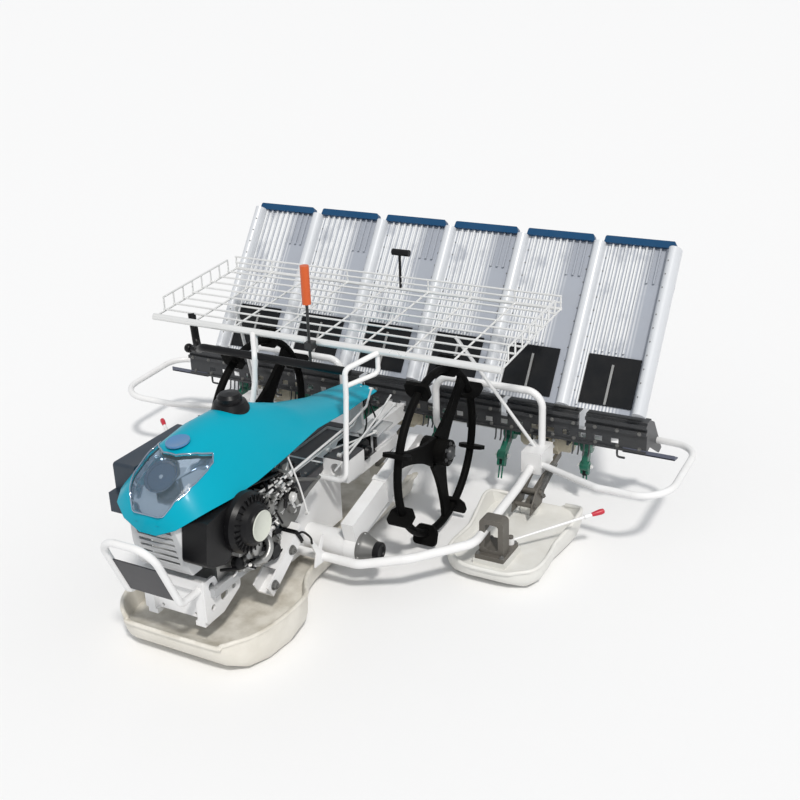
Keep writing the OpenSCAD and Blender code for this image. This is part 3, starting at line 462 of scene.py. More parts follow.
def slab(outline, low, high):
    """Flat outline of (station, height) pairs in mm, drawn across from x low to x high."""
    return prism(np.array(outline) / 1000, (high - low) / 1000, at(low, 0, 0), (0, 1, 0), (0, 0, 1))


def block(y, z, x):
    """Slab with a rectangle for its outline; y, z and x are (low, high) pairs in mm."""
    return slab([(y[0], z[0]), (y[1], z[0]), (y[1], z[1]), (y[0], z[1])], *x)


def around(centre, radius, count, start):
    """Places evenly round the x axis through a centre, in metres, the first at an angle in radians."""
    return [centre + radius * np.array((0, math.cos(a), math.sin(a)))
            for a in np.linspace(start, start + 2 * np.pi, count, endpoint=False)]


def along_x(shape, shifts):
    """Copies of a shape, each moved across by one of the shifts in mm."""
    return repeated(shape, [(np.eye(3), np.array((x / 1000, 0, 0))) for x in shifts])


def side_bolts(size, places):
    """Bolts of a size that face the machine's left, at places in metres."""
    return repeated(bolt(size), [(SIDEWAYS, p) for p in places])


def coil(a, b, radius, wire, turns, sides=6):
    """Helix of so many turns about the line between two places in mm, a tube of wire's radius."""
    a, b = at(*a), at(*b)
    side = square_to(unit(b - a))
    s = np.linspace(0, 1, int(turns * 10) + 1)[:, None]
    angle = 2 * np.pi * turns * s
    path = a + s * (b - a) + radius * (np.cos(angle) * side + np.sin(angle) * np.cross(unit(b - a), side))
    return tube(path, wire, sides)


def mirrored(shape):
    """The same shape on the machine's other side: x changes sign and the faces turn round."""
    return shape[0] * (-1, 1, 1), [f[::-1] for f in shape[1]]


def both_sides(name, shape, finish, body="chassis", **look):
    """NAME_left and its mirror image NAME_right; a body whose name ends in _ takes the side's name too."""
    shape = joined(shape) if isinstance(shape, list) else shape
    for side, form in (("left", shape), ("right", mirrored(shape))):
        piece(name + "_" + side, form, finish, body + side if body.endswith("_") else body, **look)


# ---- headlamp
HOOD_TABLE = np.array([(-848, 30, 466, 500), (-835, 92, 490, 548), (-810, 134, 518, 590),
                       (-760, 160, 532, 634), (-680, 176, 534, 676), (-560, 180, 534, 694),
                       (-400, 168, 534, 690)])      # station, half width, edge and crown
LENS_EDGE = np.array([(40, -845), (52, -838), (70, -820), (86, -800), (98, -775), (104, -746), (109, -693),
                      (107, -664), (92, -642), (76, -673), (54, -695), (22, -717)])
LENS_MIDDLE = np.array((0.0, -765.0))
NOSE_HEIGHT = 512     # lowest height of the hood's skin under the lens
RIM_HEIGHT = 524      # and where the rim runs


def hood_height(x, y):
    """Height of the hood's skin over (x, y) mm: a parabola across it, from its edge to its crown."""
    half, low, crown = (np.interp(y, HOOD_TABLE[:, 0], HOOD_TABLE[:, k]) for k in (1, 2, 3))
    return low + (crown - low) * np.maximum(1 - (x / half) ** 2, 0)


def lens_outline(steps=6):
    """Points round the lens, seen from above, left half then right half mirrored."""
    ring = np.vstack([LENS_EDGE, (LENS_EDGE * (-1, 1))[::-1], LENS_EDGE[:1]])
    t = np.linspace(0, 1, steps, endpoint=False)[None, :, None]
    return (ring[:-1, None] * (1 - t) + ring[1:, None] * t).reshape(-1, 2)


def make_headlamp():
    """Bowl under the lens, reflector and bulb in it, bright rim, and the plain badge behind it."""
    outline = lens_outline()
    share = np.linspace(1, 0.05, 14)[:, None, None]
    flat = LENS_MIDDLE + share * (outline[None] - LENS_MIDDLE)
    depth = 16 + 46 * np.sqrt(np.maximum(1 - share[..., 0] ** 2.2, 0))
    x, y = flat[..., 0], flat[..., 1]
    bowl = np.stack([x, y - MIDDLE_Y, np.maximum(hood_height(x, y), NOSE_HEIGHT) - depth], axis=-1) / 1000
    faces = ring_faces(*x.shape)
    del faces[-2]      # open at its rim
    piece("lamp_bowl", (bowl.reshape(-1, 3), faces), "lamp_silver", smooth=40)

    rim = np.vstack([outline, outline[:1]]) * (1.01, 1.0)
    height = np.maximum(hood_height(rim[:, 0], np.maximum(rim[:, 1], -842)), RIM_HEIGHT) + 1.5
    edge = np.stack([rim[:, 0], rim[:, 1] - MIDDLE_Y, height], axis=-1) / 1000
    piece("lamp_rim", tube(edge, 0.0024, 8), "lamp_silver", smooth=60)

    way, centre = unit((0.0, -0.62, 0.78)), (0, -762, 603)
    dish = [(2, 50), (6, 52), (8, 50), (4, 45), (-4, 37), (-12, 24), (-15, 10), (-15, 1)]
    piece("lamp_reflector", spun(dish, centre, 40, way), "lamp_blue", smooth=35)
    bulb = [(-15, 1), (-14, 9), (-2, 9), (4, 6), (6, 1)]
    piece("lamp_bulb", spun(bulb, centre, 20, way), "lamp_silver", smooth=35)

    place, normal = seat(["hood"], at(0, -677, 800), (0, 0, -1))
    badge = np.array([(-2, 1), (-2, 36), (2.5, 36), (3.5, 34.5), (2.8, 33), (2.8, 1)]) / 1000
    piece("hood_badge", lathe(badge, place, normal, 48), "badge_blue", smooth=35)


# ---- engine
BIG_PULLEY, BIG_REACH = (-366, 350), 64        # (station, height) of its axle, and the belt's radius on it
SMALL_PULLEY, SMALL_REACH = (-452, 268), 30


def make_cylinder():
    """Cooling fins up the cylinder's side, sheet brackets, strewn nuts and a rising row of studs."""
    fins = [slab([(-566, z), (-452, z), (-446, z + 4), (-566, z + 4)], 108, 136) for z in range(300, 430, 13)]
    piece("cylinder_fins", fins, "raw_aluminium", bevel=0.0008)
    brackets = [slab([(-360, 392), (-318, 396), (-306, 424), (-318, 476), (-352, 480)], 118, 122),
                slab([(-540, 258), (-430, 238), (-424, 262), (-530, 290)], 118, 123),
                slab([(-600, 236), (-560, 226), (-552, 330), (-572, 336)], 128, 132),
                slab([(-640, 316), (-560, 300), (-560, 322), (-636, 340)], 112, 150)]
    piece("engine_brackets", brackets, "raw_aluminium", bevel=0.001)
    strewn, count = np.random.default_rng(7), 26
    y = strewn.uniform(-600, -340, count)
    z = np.interp(y, [-600, -340], [290, 400]) + strewn.uniform(-46, 60, count)
    tilted = facing((1, 0.2, 0.3))
    moves = [(tilted, at(124 + 14 * (k % 3), y[k], z[k])) for k in range(count)]
    piece("engine_nuts", repeated(bolt(0.013), moves), "plated_wire")
    studs = [spun([(0, 2), (0, 5 + 3 * (k % 2)), (18, 5 + 3 * (k % 2)), (18, 2)],
                  (110, -596 + 20 * k, 286 + 9 * k), 10) for k in range(12)]
    piece("engine_studs", studs, "cast_metal")


def make_carburettor():
    """Flanged throat, float bowl with its nut, idle screw, inlet pipe and plug cap."""
    throat = spun([(0, 3), (0, 23), (4, 23), (5, 14), (14, 14), (18, 19), (46, 20), (50, 14), (60, 14),
                   (61, 24), (66, 24), (66, 3)], (140, -490, 428), 24, (0, 1, 0))
    bowl = spun([(0, 2), (2, 14), (28, 17), (34, 19), (38, 17), (44, 2)], (140, -458, 376), 24, (0, 0, 1))
    nut = spun([(-10, 6), (2, 6)], (140, -458, 376), 6, (0, 0, 1))
    screw = spun([(0, 4), (12, 4), (13, 7), (19, 7)], (158, -462, 430), 12, (1, 0, 0.2))
    piece("carburettor", [throat, bowl, nut, screw], "cast_metal", smooth=32)
    pipe = hose([(140, -424, 428), (138, -404, 430), (118, -388, 440), (70, -380, 462)], 0.017, sides=14)
    piece("inlet_pipe", pipe, "black_plastic", smooth=60)
    cap = [(0, 4), (0, 13), (22, 12), (30, 8), (46, 6.5), (46, 2)]
    piece("plug_cap", spun(cap, (116, -420, 470), 18, (0.7, 0.5, 0.2)), "black_plastic", smooth=40)


def make_engine_lines():
    """Fuel and vent hoses, control rods with sleeved eyes, governor springs and the cable's disc."""
    hoses = [hose(places, radius) for places, radius in (
        ([(60, -452, 530), (112, -456, 512), (152, -462, 482), (150, -466, 444), (142, -462, 424)], 0.0035),
        ([(128, -560, 500), (150, -520, 506), (158, -470, 500), (150, -420, 488), (112, -352, 478)], 0.004),
        ([(118, -640, 330), (150, -600, 306), (156, -540, 300), (146, -470, 322), (128, -430, 352)], 0.0045),
        ([(124, -700, 300), (150, -640, 280), (140, -570, 262), (120, -520, 250), (100, -470, 240)], 0.005),
        ([(100, -430, 500), (140, -400, 470), (160, -372, 420), (150, -350, 360), (120, -330, 330)], 0.004),
        ([(150, -352, 262), (168, -420, 250), (160, -500, 240), (130, -560, 232), (100, -600, 230)], 0.004))]
    piece("engine_hoses", hoses, "black_plastic", smooth=60)
    rods = [hose(places, radius, 4) for places, radius in (
        ([(150, -529, 471), (150, -430, 466), (150, -335, 460)], 0.0038),
        ([(150, -525, 446), (150, -430, 441), (150, -345, 437)], 0.0034),
        ([(160, -372, 526), (182, -352, 420), (200, -346, 330)], 0.003),
        ([(118, -300, 505), (140, -360, 470), (128, -404, 440)], 0.0028),
        ([(128, -478, 406), (130, -420, 402), (128, -360, 410)], 0.0024))]
    eyes = [(150, -529, 471), (150, -525, 446), (150, -335, 460), (150, -345, 437), (200, -346, 330)]
    piece("control_rods", rods + sleeves(eyes, 6, 7), "plated_wire", smooth=40)
    springs = [coil((146, -500, 398), (140, -424, 392), 0.005, 0.0011, 16),
               coil((150, -420, 350), (136, -352, 380), 0.006, 0.0013, 14)]
    piece("governor_springs", springs, "plated_wire", smooth=60)
    disc = spun([(0, 2), (0, 11), (4, 11), (6, 8), (10, 8), (12, 2)], (140, -333, 366), 20, (1, -0.2, 0))
    piece("cable_disc", disc, "white_paint", smooth=35)


def make_belt_drive():
    """Sheet guard behind the engine, a large and a small grooved pulley, and the belt round both."""
    piece("belt_guard", block((-412, -404), (256, 500), (-100, 120)), "dark_steel", bevel=0.001)
    big = spun([(0, 4), (0, 62), (4, 66), (10, 58), (22, 58), (28, 66), (32, 62), (32, 20), (42, 18),
                (42, 2)], (120, *BIG_PULLEY), 40)
    small = spun([(0, 4), (0, 30), (6, 26), (18, 26), (24, 30), (26, 8), (36, 8)], (124, *SMALL_PULLEY), 28)
    piece("belt_pulleys", [big, small], "bell_grey")
    turns = []
    for a in np.linspace(-2.1, 4.1, 22):
        (y, z), reach = (BIG_PULLEY, BIG_REACH) if a < 1.25 else (SMALL_PULLEY, SMALL_REACH)
        turns.append((136, y + reach * math.cos(a), z + reach * math.sin(a)))
    belt = route(turns, 3)
    piece("drive_belt", tube(np.vstack([belt, belt[:1]]), 0.006, 6), "belt_rubber", smooth=60)


def make_recoil_details():
    """Cooling fins round the recoil's face and a plain raised disc in its middle."""
    bar = prism([(0.064, -0.0012), (0.064, 0.0012), (0.086, 0.0012), (0.086, -0.0012)], 0.006,
                (0, 0, -0.003), (1, 0, 0), (0, 1, 0))
    moves = [(SIDEWAYS @ np.array(Matrix.Rotation(t, 3, "Z")), at(214, -645, 446))
             for t in np.linspace(0, 2 * np.pi, 26, endpoint=False)]
    piece("recoil_fins", repeated(bar, moves), "black_plastic", bevel=0.0006)
    ring = spun([(-2, 44), (2, 46), (4, 44), (2, 41), (2, 1)], (244, -645, 446), 48)
    piece("recoil_disc", ring, "pale_disc", smooth=35)


def make_low_engine():
    """Below the recoil: a stepped pump cover, the drain elbow, a filler cap and stays to the bed."""
    pump = (128, -574, 318)
    cover = spun([(0, 4), (0, 46), (10, 46), (13, 38), (26, 36), (30, 26), (42, 24), (45, 18), (45, 1)],
                 pump, 36)
    bosses = [lathe([(0, 0.002), (0, 0.007), (0.016, 0.007), (0.016, 0.002)], p, (1, 0, 0), 12)
              for p in around(at(*pump), 0.044, 7, 0.2)]
    piece("oil_cover", [cover] + bosses, "raw_aluminium")
    elbow = hose([(120, -520, 330), (168, -524, 322), (184, -536, 300), (180, -560, 276), (150, -580, 262)],
                 0.012, sides=14)
    bands = [spun([(-4, 14.5), (4, 14.5)], p, 16, way)
             for p, way in (((150, -522, 327), (1, 0, -0.2)), ((178, -562, 275), (-0.4, -0.6, -0.5)))]
    piece("drain_elbow", [elbow] + bands, "raw_aluminium", smooth=45)
    cap = spun([(0, 4), (0, 17), (10, 19), (20, 19), (24, 12), (24, 2)], (130, -640, 292), 20, (1, 0, 0.3))
    filter_can = spun([(0, 4), (0, 24), (6, 27), (48, 27), (54, 22), (54, 2)], (130, -500, 270), 28)
    piece("oil_caps", [cap, filter_can], "black_plastic", smooth=32)
    stays = [slab([(-660, 256), (-648, 256), (-560, 300), (-566, 310)], 132, 137),
             slab([(-520, 256), (-500, 256), (-470, 330), (-482, 336)], 150, 155),
             block((-600, -470), (256, 264), (118, 166))]
    piece("engine_stays", stays, "white_paint", bevel=0.001)
    strewn, count, bright = np.random.default_rng(11), 34, 20
    y, z, x = (strewn.uniform(low, high, count) for low, high in ((-640, -440), (262, 372), (124, 168)))
    radius, length = strewn.uniform(0.003, 0.009, count), strewn.uniform(0.008, 0.03, count)
    bits = [lathe([(0, 0.001), (0, r), (h, r), (h, 0.001)], at(a, b, c), way, 10)
            for a, b, c, r, h, way in zip(x, y, z, radius, length, unit(strewn.normal(size=(count, 3))))]
    piece("engine_unions", bits[:bright], "raw_aluminium")
    piece("engine_plugs", bits[bright:], "black_plastic")


def make_throttle_bank():
    """Beside the cylinder: three bright bars in clamps, a pulley under them and two struts."""
    bank = (((184, -531, 472), (184, -396, 492), 0.0042), ((186, -496, 451), (186, -395, 460), 0.0036),
            ((182, -502, 439), (182, -404, 439), 0.003))
    bars = [rod([a, b], r, 10) for a, b, r in bank]
    clamps, shims = [], []
    for (a, b, _), r in zip(bank, (0.0072, 0.0064, 0.0058)):
        a, b = at(*a), at(*b)
        for kind, shares, out in ((clamps, (0.04, 0.42, 0.84), r), (shims, (0.3, 0.66), r - 0.0022)):
            kind += [lathe([(-0.005, 0.002), (-0.005, out), (0.005, out), (0.005, 0.002)], a + s * (b - a),
                           unit(b - a), 12) for s in shares]
    wheel = spun([(0, 4), (0, 16), (3, 16), (5, 12), (7, 16), (10, 16), (10, 6), (13, 6), (13, 1)],
                 (172, -385, 400), 24)
    posts = [rod([(112, y, z), (x, y, z)], 0.0045) for x, y, z in (
        (184, -526, 473), (184, -402, 491), (186, -453, 455), (182, -412, 439), (178, -385, 400))]
    struts = [rod(ends, 0.006) for ends in (
        ((168, -360, 446), (150, -205, 372)), ((166, -330, 360), (150, -190, 374)))]
    piece("throttle_bars", bars + [wheel], "plated_wire", smooth=35)
    piece("throttle_clamps", clamps + posts, "raw_aluminium", smooth=35)
    piece("throttle_shims", shims, "black_plastic", smooth=35)
    piece("engine_struts", struts, "bell_grey", smooth=45)


def make_linkage_bits():
    """Levers, eyes and unions crowded between the engine and the clutch box."""
    strewn, count, bright = np.random.default_rng(23), 44, 20
    x, y, z = (strewn.uniform(low, high, count) for low, high in ((118, 172), (-500, -330), (330, 486)))
    ways = unit(strewn.normal(size=(count, 3)) * (1.0, 0.8, 0.5) + (0.8, 0, 0))
    radius, length = strewn.uniform(0.003, 0.01, count), strewn.uniform(0.008, 0.034, count)
    bits = [lathe([(-h, 0.001), (-h, r), (h * 0.2, r), (h * 0.3, 0.7 * r), (h, 0.7 * r), (h, 0.001)],
                  at(a, b, c), way, 10) for a, b, c, r, h, way in zip(x, y, z, radius, length, ways)]
    piece("linkage_bright", bits[:bright], "plated_wire")
    piece("linkage_dark", bits[bright:], "black_plastic")
    arms = [slab([(-470 + 26 * k, 470 - 22 * k), (-452 + 26 * k, 476 - 22 * k), (-438 + 26 * k, 424 - 18 * k),
                  (-450 + 26 * k, 420 - 18 * k)], 150 + 3 * k, 153 + 3 * k) for k in range(5)]
    piece("linkage_arms", arms, "raw_aluminium", bevel=0.0008)


make_headlamp()
make_cylinder()
make_carburettor()
make_engine_lines()
make_belt_drive()
make_recoil_details()
make_low_engine()
make_throttle_bank()
make_linkage_bits()


# ---- solids shaded smooth
CREASES = {"hood": 38, "center_float": 42, "side_float_left": 42, "side_float_right": 42, "fuel_cap": 35,
           "engine_cover": 30, "wheel_left": 30, "wheel_right": 30}      # crease angle of each, in degrees


def smooth_skin(node, angle):
    """A solid's own skin, its loose corners merged, shaded smooth up to a crease angle."""
    source = nodes[node].data
    source.calc_loop_triangles()
    points = np.empty(len(source.vertices) * 3)
    source.vertices.foreach_get("co", points)
    corners = np.empty(len(source.loop_triangles) * 3, int)
    source.loop_triangles.foreach_get("vertices", corners)
    merged, index = np.unique(np.round(points.reshape(-1, 3), 5), axis=0, return_inverse=True)
    faces = index.reshape(-1)[corners].reshape(-1, 3)
    whole = (faces[:, 0] != faces[:, 1]) & (faces[:, 1] != faces[:, 2]) & (faces[:, 2] != faces[:, 0])
    skin = piece(node + "_skin", (merged, faces[whole].tolist()), OWN_LOOKS.get(node, SLOT_OF[node]),
                 BODY_OF[node], smooth=angle)
    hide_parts(node)


for node, crease in CREASES.items():
    smooth_skin(node, crease)


# ---- swing arms, beam and wheels
ARM_PIVOT = (296, -190, 150)
WHEEL_HUB = (415, 220, 330)
BEAM_TILT = math.radians(32)
BEAM_FOOT = (-552, 156)       # (station, height) of the box beam's lower end
BEAM_SIDE = 185.5             # where the box beam's outer wall stands


def make_pivot_bells():
    """Flanged bell over each arm's pivot, a dark ring at its end and six bolts round it."""
    bell = spun([(0, 20), (0, 50), (6, 50), (8, 46.5), (14, 46), (20, 43), (34, 37), (46, 32.5), (54, 30),
                 (54.5, 18)], ARM_PIVOT, 40)
    ring = spun([(53, 12), (53, 30.5), (70, 30), (73, 27), (73, 19), (69, 17), (69, 1)], ARM_PIVOT, 32)
    flange = at(*ARM_PIVOT) + (0.006, 0, 0)
    heads = side_bolts(0.009, around(flange, 0.0435, 6, 0.3))
    both_sides("pivot_bell", bell, "bell_grey", "arm_")
    both_sides("pivot_ring", ring, "black_plastic", "arm_")
    both_sides("pivot_bolts", heads, "plated_wire", "arm_")


def on_beam(x, along, across):
    """A place on the sloping box beam: distances along it and across it from its foot, in mm."""
    c, s = math.cos(BEAM_TILT), math.sin(BEAM_TILT)
    return at(x, BEAM_FOOT[0] + along * c - across * s, BEAM_FOOT[1] + along * s + across * c)


def make_beam_fittings():
    """Strap round each box beam's top, its lever, a forked bracket behind it and two side bolts."""
    wound = ((140, 28), (182, 28), (189, 22), (189, -22), (182, -28), (140, -28))
    turns = [tube(curve([on_beam(x, along, across) for x, across in wound], 5), 0.0032, 8)
             for along in (196, 203)]
    lever = [on_beam(190, 198, 20), on_beam(198, 214, 8), at(204, -346, 244), at(202, -336, 216)]
    turns.append(tube(curve(lever, 5), 0.0036, 8))
    both_sides("beam_strap", turns, "black_plastic", smooth=50)
    fork = slab([(-318, 116), (-262, 112), (-252, 138), (-272, 160), (-254, 206), (-266, 212), (-288, 176),
                 (-322, 222), (-334, 214), (-306, 160)], 190, 196)
    both_sides("beam_fork", fork, "white_paint", bevel=0.001)
    heads = side_bolts(0.026, [on_beam(BEAM_SIDE, along, 2) for along in (26, 150)])
    both_sides("beam_bolts", heads, "bell_grey")


def make_hub_details():
    """Six bolts and a domed cap on the outer end of each wheel's hub, and a collar behind it."""
    heads = side_bolts(0.012, around(at(*WHEEL_HUB), 0.034, 6, 0.4))
    cap = spun([(0, 3), (0, 24), (6, 23.5), (12, 20), (15, 12), (15.5, 2)], WHEEL_HUB, 28)
    collar = spun([(-62, 46), (-62, 52), (-56, 54), (-50, 52), (-50, 46)], WHEEL_HUB, 32)
    both_sides("wheel_hub", [heads, cap, collar], "dark_steel", "wheel_")


# ---- deck and transmission
TRANS_TOP = 360.0     # height of the transmission's flat top


def make_deck_fittings():
    """On the deck: the clutch box's dark lid, a linkage housing, a plate on legs and the rods."""
    piece("clutch_lid", block((-79, 29), (383, 388), (97, 189)), "brown_panel", bevel=0.0015)
    housing = slab([(48, 300), (150, 300), (150, 356), (132, 372), (70, 372), (48, 350)], 62, 142)
    piece("deck_housing", housing, "black_plastic", bevel=0.004)
    drum = spun([(0, 4), (0, 30), (44, 30), (48, 24), (60, 24), (64, 18), (78, 16), (78, 2)],
                (112, 196, 300), 28, (0, 0, 1))
    knob = spun([(0, 4), (0, 20), (20, 22), (30, 16), (34, 3)], (142, 100, 340), 24)
    piece("deck_drum", [drum, knob], "black_plastic", smooth=32)
    leg = [(160, 299), (172, 299), (172, 376), (160, 375)]
    plate = [slab([(152, 372), (262, 380), (262, 386), (152, 378)], 92, 176), slab(leg, 94, 98),
             slab(leg, 140, 144), slab([(244, 299), (256, 299), (256, 382), (244, 381)], 94, 98)]
    piece("deck_plate", plate, "grey_paint", bevel=0.0015)
    rods = [hose(places, radius, 6) for places, radius in (
        ([(150, -60, 392), (152, 40, 396), (150, 180, 402), (146, 330, 420)], 0.0045),
        ([(166, -120, 366), (168, 20, 402), (160, 180, 436), (150, 300, 470)], 0.0035),
        ([(96, -40, 392), (130, 60, 388), (168, 150, 392)], 0.0035))]
    eyes = [(150, -60, 392), (146, 330, 420), (168, 150, 392), (96, -40, 392)]
    piece("deck_rods", rods + sleeves(eyes, 7, 8), "plated_wire", smooth=45)


def make_deck_mat():
    """Dark mats over the deck, in its shallow well and over the step before it."""
    mats = [block((62, 298), (288, 291), (-124, 38)), block((-82, 19), (320, 324), (-95, 95)),
            block((42, 186), (300, 303), (40, 148)), block((22, 338), (300, 303), (-148, -126)),
            block((302, 338), (300, 303), (-126, 66))]
    piece("deck_mat", mats, "brown_panel", bevel=0.0008)


def make_gearbox_lid():
    """Dark lid bent over the transmission's nose and top, a lip down each side, and bolts."""
    lid = slab([(-303, 262), (-260, TRANS_TOP + 3), (-84, TRANS_TOP + 3), (-84, TRANS_TOP - 1),
                (-258, TRANS_TOP - 1), (-298, 262)], -99, 99)
    lip = [(-298, 250), (-84, TRANS_TOP - 18), (-84, TRANS_TOP + 2), (-259, TRANS_TOP + 2), (-299, 262)]
    lips = [slab(lip, x, x + 2.5) for x in (-99, 96.5)]
    piece("gearbox_lid", [lid] + lips, "brown_panel", bevel=0.001)
    places = [at(x, y, 600) for x in (-84, 84) for y in (-240, -170, -100)]
    bolts("lid_bolts", "transmission", places, (0, 0, -1), 0.012)


def make_cables():
    """Sheathed cables into the deck's linkage, and long shift rods from the engine to the tail."""
    cables = [hose(places, 0.0032) for places in (
        [(20, 332, 484), (60, 260, 440), (110, 190, 400), (130, 120, 372)],
        [(40, 334, 470), (76, 280, 430), (120, 236, 400), (118, 200, 376)])]
    piece("control_cables", cables, "black_plastic", smooth=60)
    high = [(162, -372, 468), (150, -170, 468), (140, 31, 467), (118, 180, 468), (60, 318, 470)]
    low = [(150, -360, 452), (128, -120, 436), (100, 120, 420), (28, 300, 410)]
    clips = sleeves([high[0], high[-1], low[0], low[-1]], 7, 7.5)
    piece("shift_rods", [rod(high, 0.0042), rod(low, 0.0032)] + clips, "plated_wire", smooth=45)


# ---- floats and markers
BOW_RIM = [(-803, 126, 104), (-795, 96, 112), (-775, 64, 122), (-730, 30, 126), (-660, 8, 128),
           (-560, 0, 128), (-470, 14, 120), (-420, 46, 112), (-360, 84, 100), (-300, 108, 88),
           (-240, 120, 80), (-100, 126, 72), (440, 126, 72), (478, 140, 72)]   # station, inset, height
SIDE_RIM = [(-25, 113, 68), (-10, 72, 72), (20, 28, 76), (70, 14, 78), (150, 16, 78), (210, 20, 82),
            (300, 8, 96), (370, 0, 112), (410, 6, 112), (432, 34, 104), (444, 74, 96)]
BEAD_INSET = 6


def make_float_beads():
    """Rolled bead along each float's rim: a tube carried round the rim's own line."""
    floats = {"center": (BOW_RIM, 276, 0, "float_plastic"), "left": (SIDE_RIM, 182, 652, "float_clean"),
              "right": (SIDE_RIM, 182, -652, "float_clean")}
    for name, (rim, half, x, finish) in floats.items():
        over = [(x + half - inset - BEAD_INSET, y, z) for y, inset, z in rim]
        back = [(2 * x - px, y, z) for px, y, z in over]
        piece("float_bead_" + name, hose(over[::-1] + back, 0.0072, 5, 10), finish, smooth=60)


def make_float_hinges():
    """Over each side float: cheeks, the pins through them, stays to the beam and a return spring."""
    pins = ((350, 118, 0.008), (400, 150, 0.01), (428, 124, 0.007))
    cheeks = [slab([(318, 96), (424, 98), (452, 140), (430, 176), (372, 168), (330, 128)], x, x + 5)
              for x in (600, 668)]
    cross = [rod([(592, y, z), (682, y, z)], r, 14) for y, z, r in pins]
    arms = [slab([(396, 150), (470, 186), (560, 200), (560, 190), (474, 172), (404, 138)], x, x + 6)
            for x in (612, 656)]
    both_sides("float_hinge", cheeks + cross + arms, "bracket_grey", bevel=0.0012)
    spring = coil((676, 404, 154), (676, 540, 200), 0.009, 0.0018, 22)
    heads = side_bolts(0.016, [at(674, y, z) for y, z, _ in pins])
    both_sides("float_spring", [spring, heads], "bell_grey", smooth=40)


def make_float_bolts():
    """Bolts that hold each bracket's base down on its float."""
    places = [at(side * x, y, 130) for side in (1, -1)
              for x, y in ((610, 20), (694, 20), (610, 130), (694, 130))]
    bolts("bracket_bolts", "float_brackets", places, (0, 0, -1), 0.014)


def make_marker_tips():
    """Tapered red tip on the end of each row marker's rod."""
    eye, end = at(682, 120, 106), at(932, 326, 172)
    way = unit(end - eye)
    profile = [(-0.046, 0.002), (-0.046, 0.006), (-0.03, 0.0085), (-0.01, 0.01), (0, 0.0085), (0.003, 0.003)]
    both_sides("marker_tip", lathe(profile, end - 0.002 * way, way, 20), "red_tip", "marker_", smooth=40)


# ---- planting gear and table
CASE_PITCH = 600              # each planting case serves two rows
ROW_PITCH = 300
SHAFT = (672, 232)            # (station, height) of the planting shaft
RAIL_FACES = (344, 281)       # heights of the guide rail's two bolted faces
TABLE_SLOPE = math.radians(54)
RIVET_REACH = 31              # from a divider's middle to its rivets
TABLE_HALF = 900
TABLE_PARK = 78               # the table stands this far to the left at rest


def make_rail_fittings():
    """On the guide rail: bolts along its face, hooks and claw guards under it, a plate at each end."""
    places = [at(x, 520, z) for x in range(-960, 961, 80) for z in RAIL_FACES]
    bolts("rail_bolts", "guide_rail", places, (0, 1, 0), 0.012)
    hook = hose([(0, 609, 270), (0, 609, 248), (6, 606, 240), (30, 604, 240)], 0.004, 5)
    piece("rail_hooks", along_x(hook, (-880, -560, 560, 880)), "dark_steel", smooth=50)
    prong = rod([(0, 604, 272), (0, 598, 236), (0, 590, 226)], 0.003, 6)
    shifts = [row * ROW_PITCH + k * 12 for row in np.arange(-2.5, 3) for k in (-2.5, -0.8, 0.8, 2.5)]
    piece("claw_guards", along_x(prong, shifts), "dark_steel", smooth=50)
    plate = [slab([(604, 262), (646, 254), (646, 260), (604, 268)], 900, 1086),
             block((604, 608), (262, 280), (900, 1086))]
    both_sides("rail_plate", plate, "slate_paint", bevel=0.001)


def make_planting_details():
    """On each planting arm: a rounded cap over its shaft, a cam cover, a claw holder and bolts."""
    caps, holders, heads = [], [], []
    for case in (-1, 0, 1):
        for side, joint, down in ((-1, (592, 168), (0, -26, -84)), (1, (652, 156), (0, -2, -66))):
            x = case * CASE_PITCH + side * ROW_PITCH / 2
            caps += [spun([(-22, 12), (-20, 27), (-10, 31), (10, 31), (20, 27), (22, 12)], (x, *SHAFT), 24),
                     spun([(-18, 10), (-16, 19), (16, 19), (18, 10)], (x, *joint), 20)]
            holders.append(spun([(10, 6), (12, 13), (34, 12), (38, 5)], (x, *joint), 14, down))
            heads += [(facing((way, 0, 0)), at(x + 21 * way, *place))
                      for place in (SHAFT, joint) for way in (1, -1)]
    piece("arm_caps", caps, "green_paint", smooth=35)
    piece("claw_holders", holders, "black_plastic", smooth=35)
    piece("arm_bolts", repeated(bolt(0.014), heads), "plated_wire")


def make_case_housings():
    """Round flanged housing across each planting case, a dark window between ribs, and bolts."""
    profile = [(-98, 20), (-98, 34), (-90, 36), (-88, 41), (-50, 42), (-48, 45), (-40, 45), (-38, 42),
               (38, 42), (40, 45), (48, 45), (50, 42), (88, 41), (90, 36), (98, 34), (98, 20)]
    shell, windows, heads = [], [], []
    for x in (-CASE_PITCH, 0, CASE_PITCH):
        shell.append(spun(profile, (x, *SHAFT), 36))
        windows.append(block((626, 632), (216, 248), (x - 26, x + 18)))
        shell += [block((622, 634), (212, 252), (x + k, x + k + 5)) for k in (-30, -6, 18)]
        heads += [(facing((0, -1, 0)), at(x + k, 630, z)) for k in (-40, 34) for z in (222, 246)]
    piece("case_housings", shell, "case_cream")
    piece("case_windows", windows, "dark_steel", bevel=0.001)
    piece("case_bolts", repeated(bolt(0.01), heads), "plated_wire")


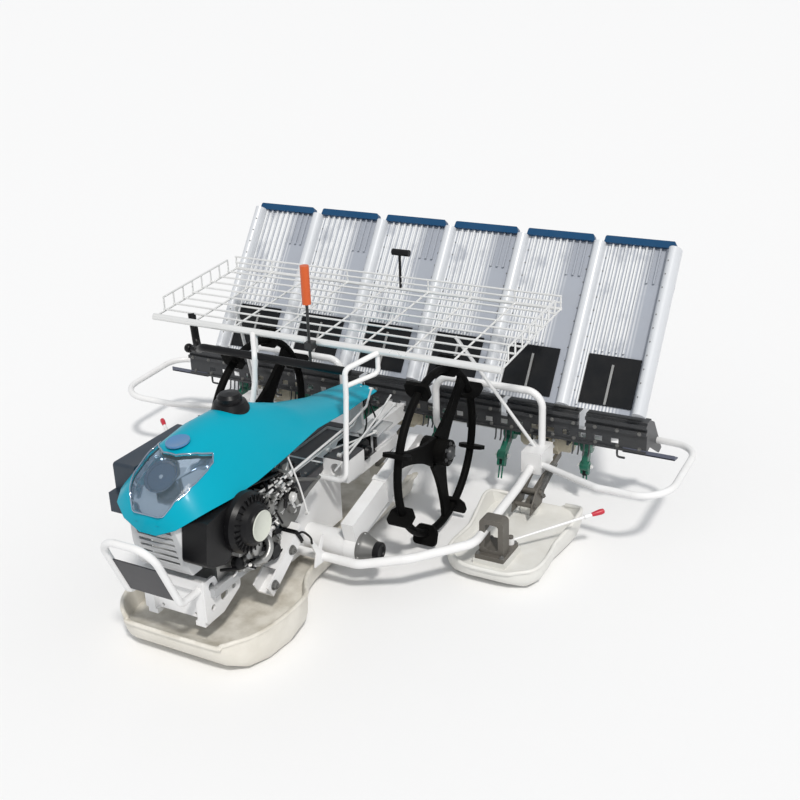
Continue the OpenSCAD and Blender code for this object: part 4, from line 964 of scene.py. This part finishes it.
def make_table_rivets():
    """Rivet heads up both sides of every divider, each where a ray square to the table meets it."""
    c, s = math.cos(TABLE_SLOPE), math.sin(TABLE_SLOPE)
    up, off = np.array((0, c, s)), np.array((0, -s, c))
    head = lathe([(0, 0.003), (0.001, 0.0027), (0.0016, 0.0012)], (0, 0, 0), (0, 0, 1), 8)
    starts = [at(TABLE_PARK + divider + x, 600, 405) + up * along + off * 0.08
              for divider in range(-TABLE_HALF, TABLE_HALF + 1, ROW_PITCH)
              for along in np.linspace(0.06, 0.56, 11)
              for x in (-RIVET_REACH, RIVET_REACH) if abs(divider + x) < TABLE_HALF]
    heads = repeated(head, seated(["table_tray", "table_dividers"], starts, -off))
    piece("table_rivets", heads, "bell_grey", "table", smooth=40)


make_pivot_bells()
make_beam_fittings()
make_hub_details()
make_deck_fittings()
make_deck_mat()
make_gearbox_lid()
make_cables()
make_float_beads()
make_float_hinges()
make_float_bolts()
make_marker_tips()
make_rail_fittings()
make_planting_details()
make_case_housings()
make_table_rivets()


# ---- stage
FLOOR_HALF = 60.0             # half the floor's width, in metres
FLOOR_HEIGHT = -0.0005        # just under the wheels and floats


def make_stage():
    """A pale floor wider than the view, an even sky and a soft sun from the front left above."""
    world = bpy.data.worlds.new("sky")
    world.use_nodes = True
    tree = world.node_tree
    lit = fill(tree, tree.nodes["Background"], dict(Color=(0.93, 0.96, 1.0), Strength=0.6))
    seen = add(tree, "Background", dict(Color=(0.955, 0.955, 0.955), Strength=1.0))
    direct = add(tree, "LightPath", {}).outputs["Is Camera Ray"]
    mix = add(tree, "MixShader", {0: direct, 1: lit.outputs[0], 2: seen.outputs[0]})
    fill(tree, tree.nodes["World Output"], dict(Surface=mix.outputs[0]))
    bpy.context.scene.world = world

    lamp = bpy.data.lights.new("sun", "SUN")
    lamp.energy, lamp.angle, lamp.color = 2.25, math.radians(6), (1.0, 0.97, 0.93)
    placed("sun", lamp).rotation_euler = Vector((-0.55, 0.6, -1.0)).to_track_quat("-Z", "Y").to_euler()

    mesh = bpy.data.meshes.new("floor")
    corners = FLOOR_HALF * np.array([(-1, -1, 0), (1, -1, 0), (1, 1, 0), (-1, 1, 0)])
    mesh.from_pydata(corners.tolist(), [], [(0, 1, 2, 3)])
    floor = placed("floor", mesh)
    floor.location.z = FLOOR_HEIGHT
    pale = bpy.data.materials.new("pale_floor")
    pale.use_nodes = True
    fill(pale.node_tree, pale.node_tree.nodes["Principled BSDF"],
         {"Base Color": (0.86, 0.86, 0.86), "Roughness": 0.9, "Specular IOR Level": 0.1})
    mesh.materials.append(pale)


make_camera()
make_stage()
bpy.context.scene.view_settings.view_transform = "Standard"
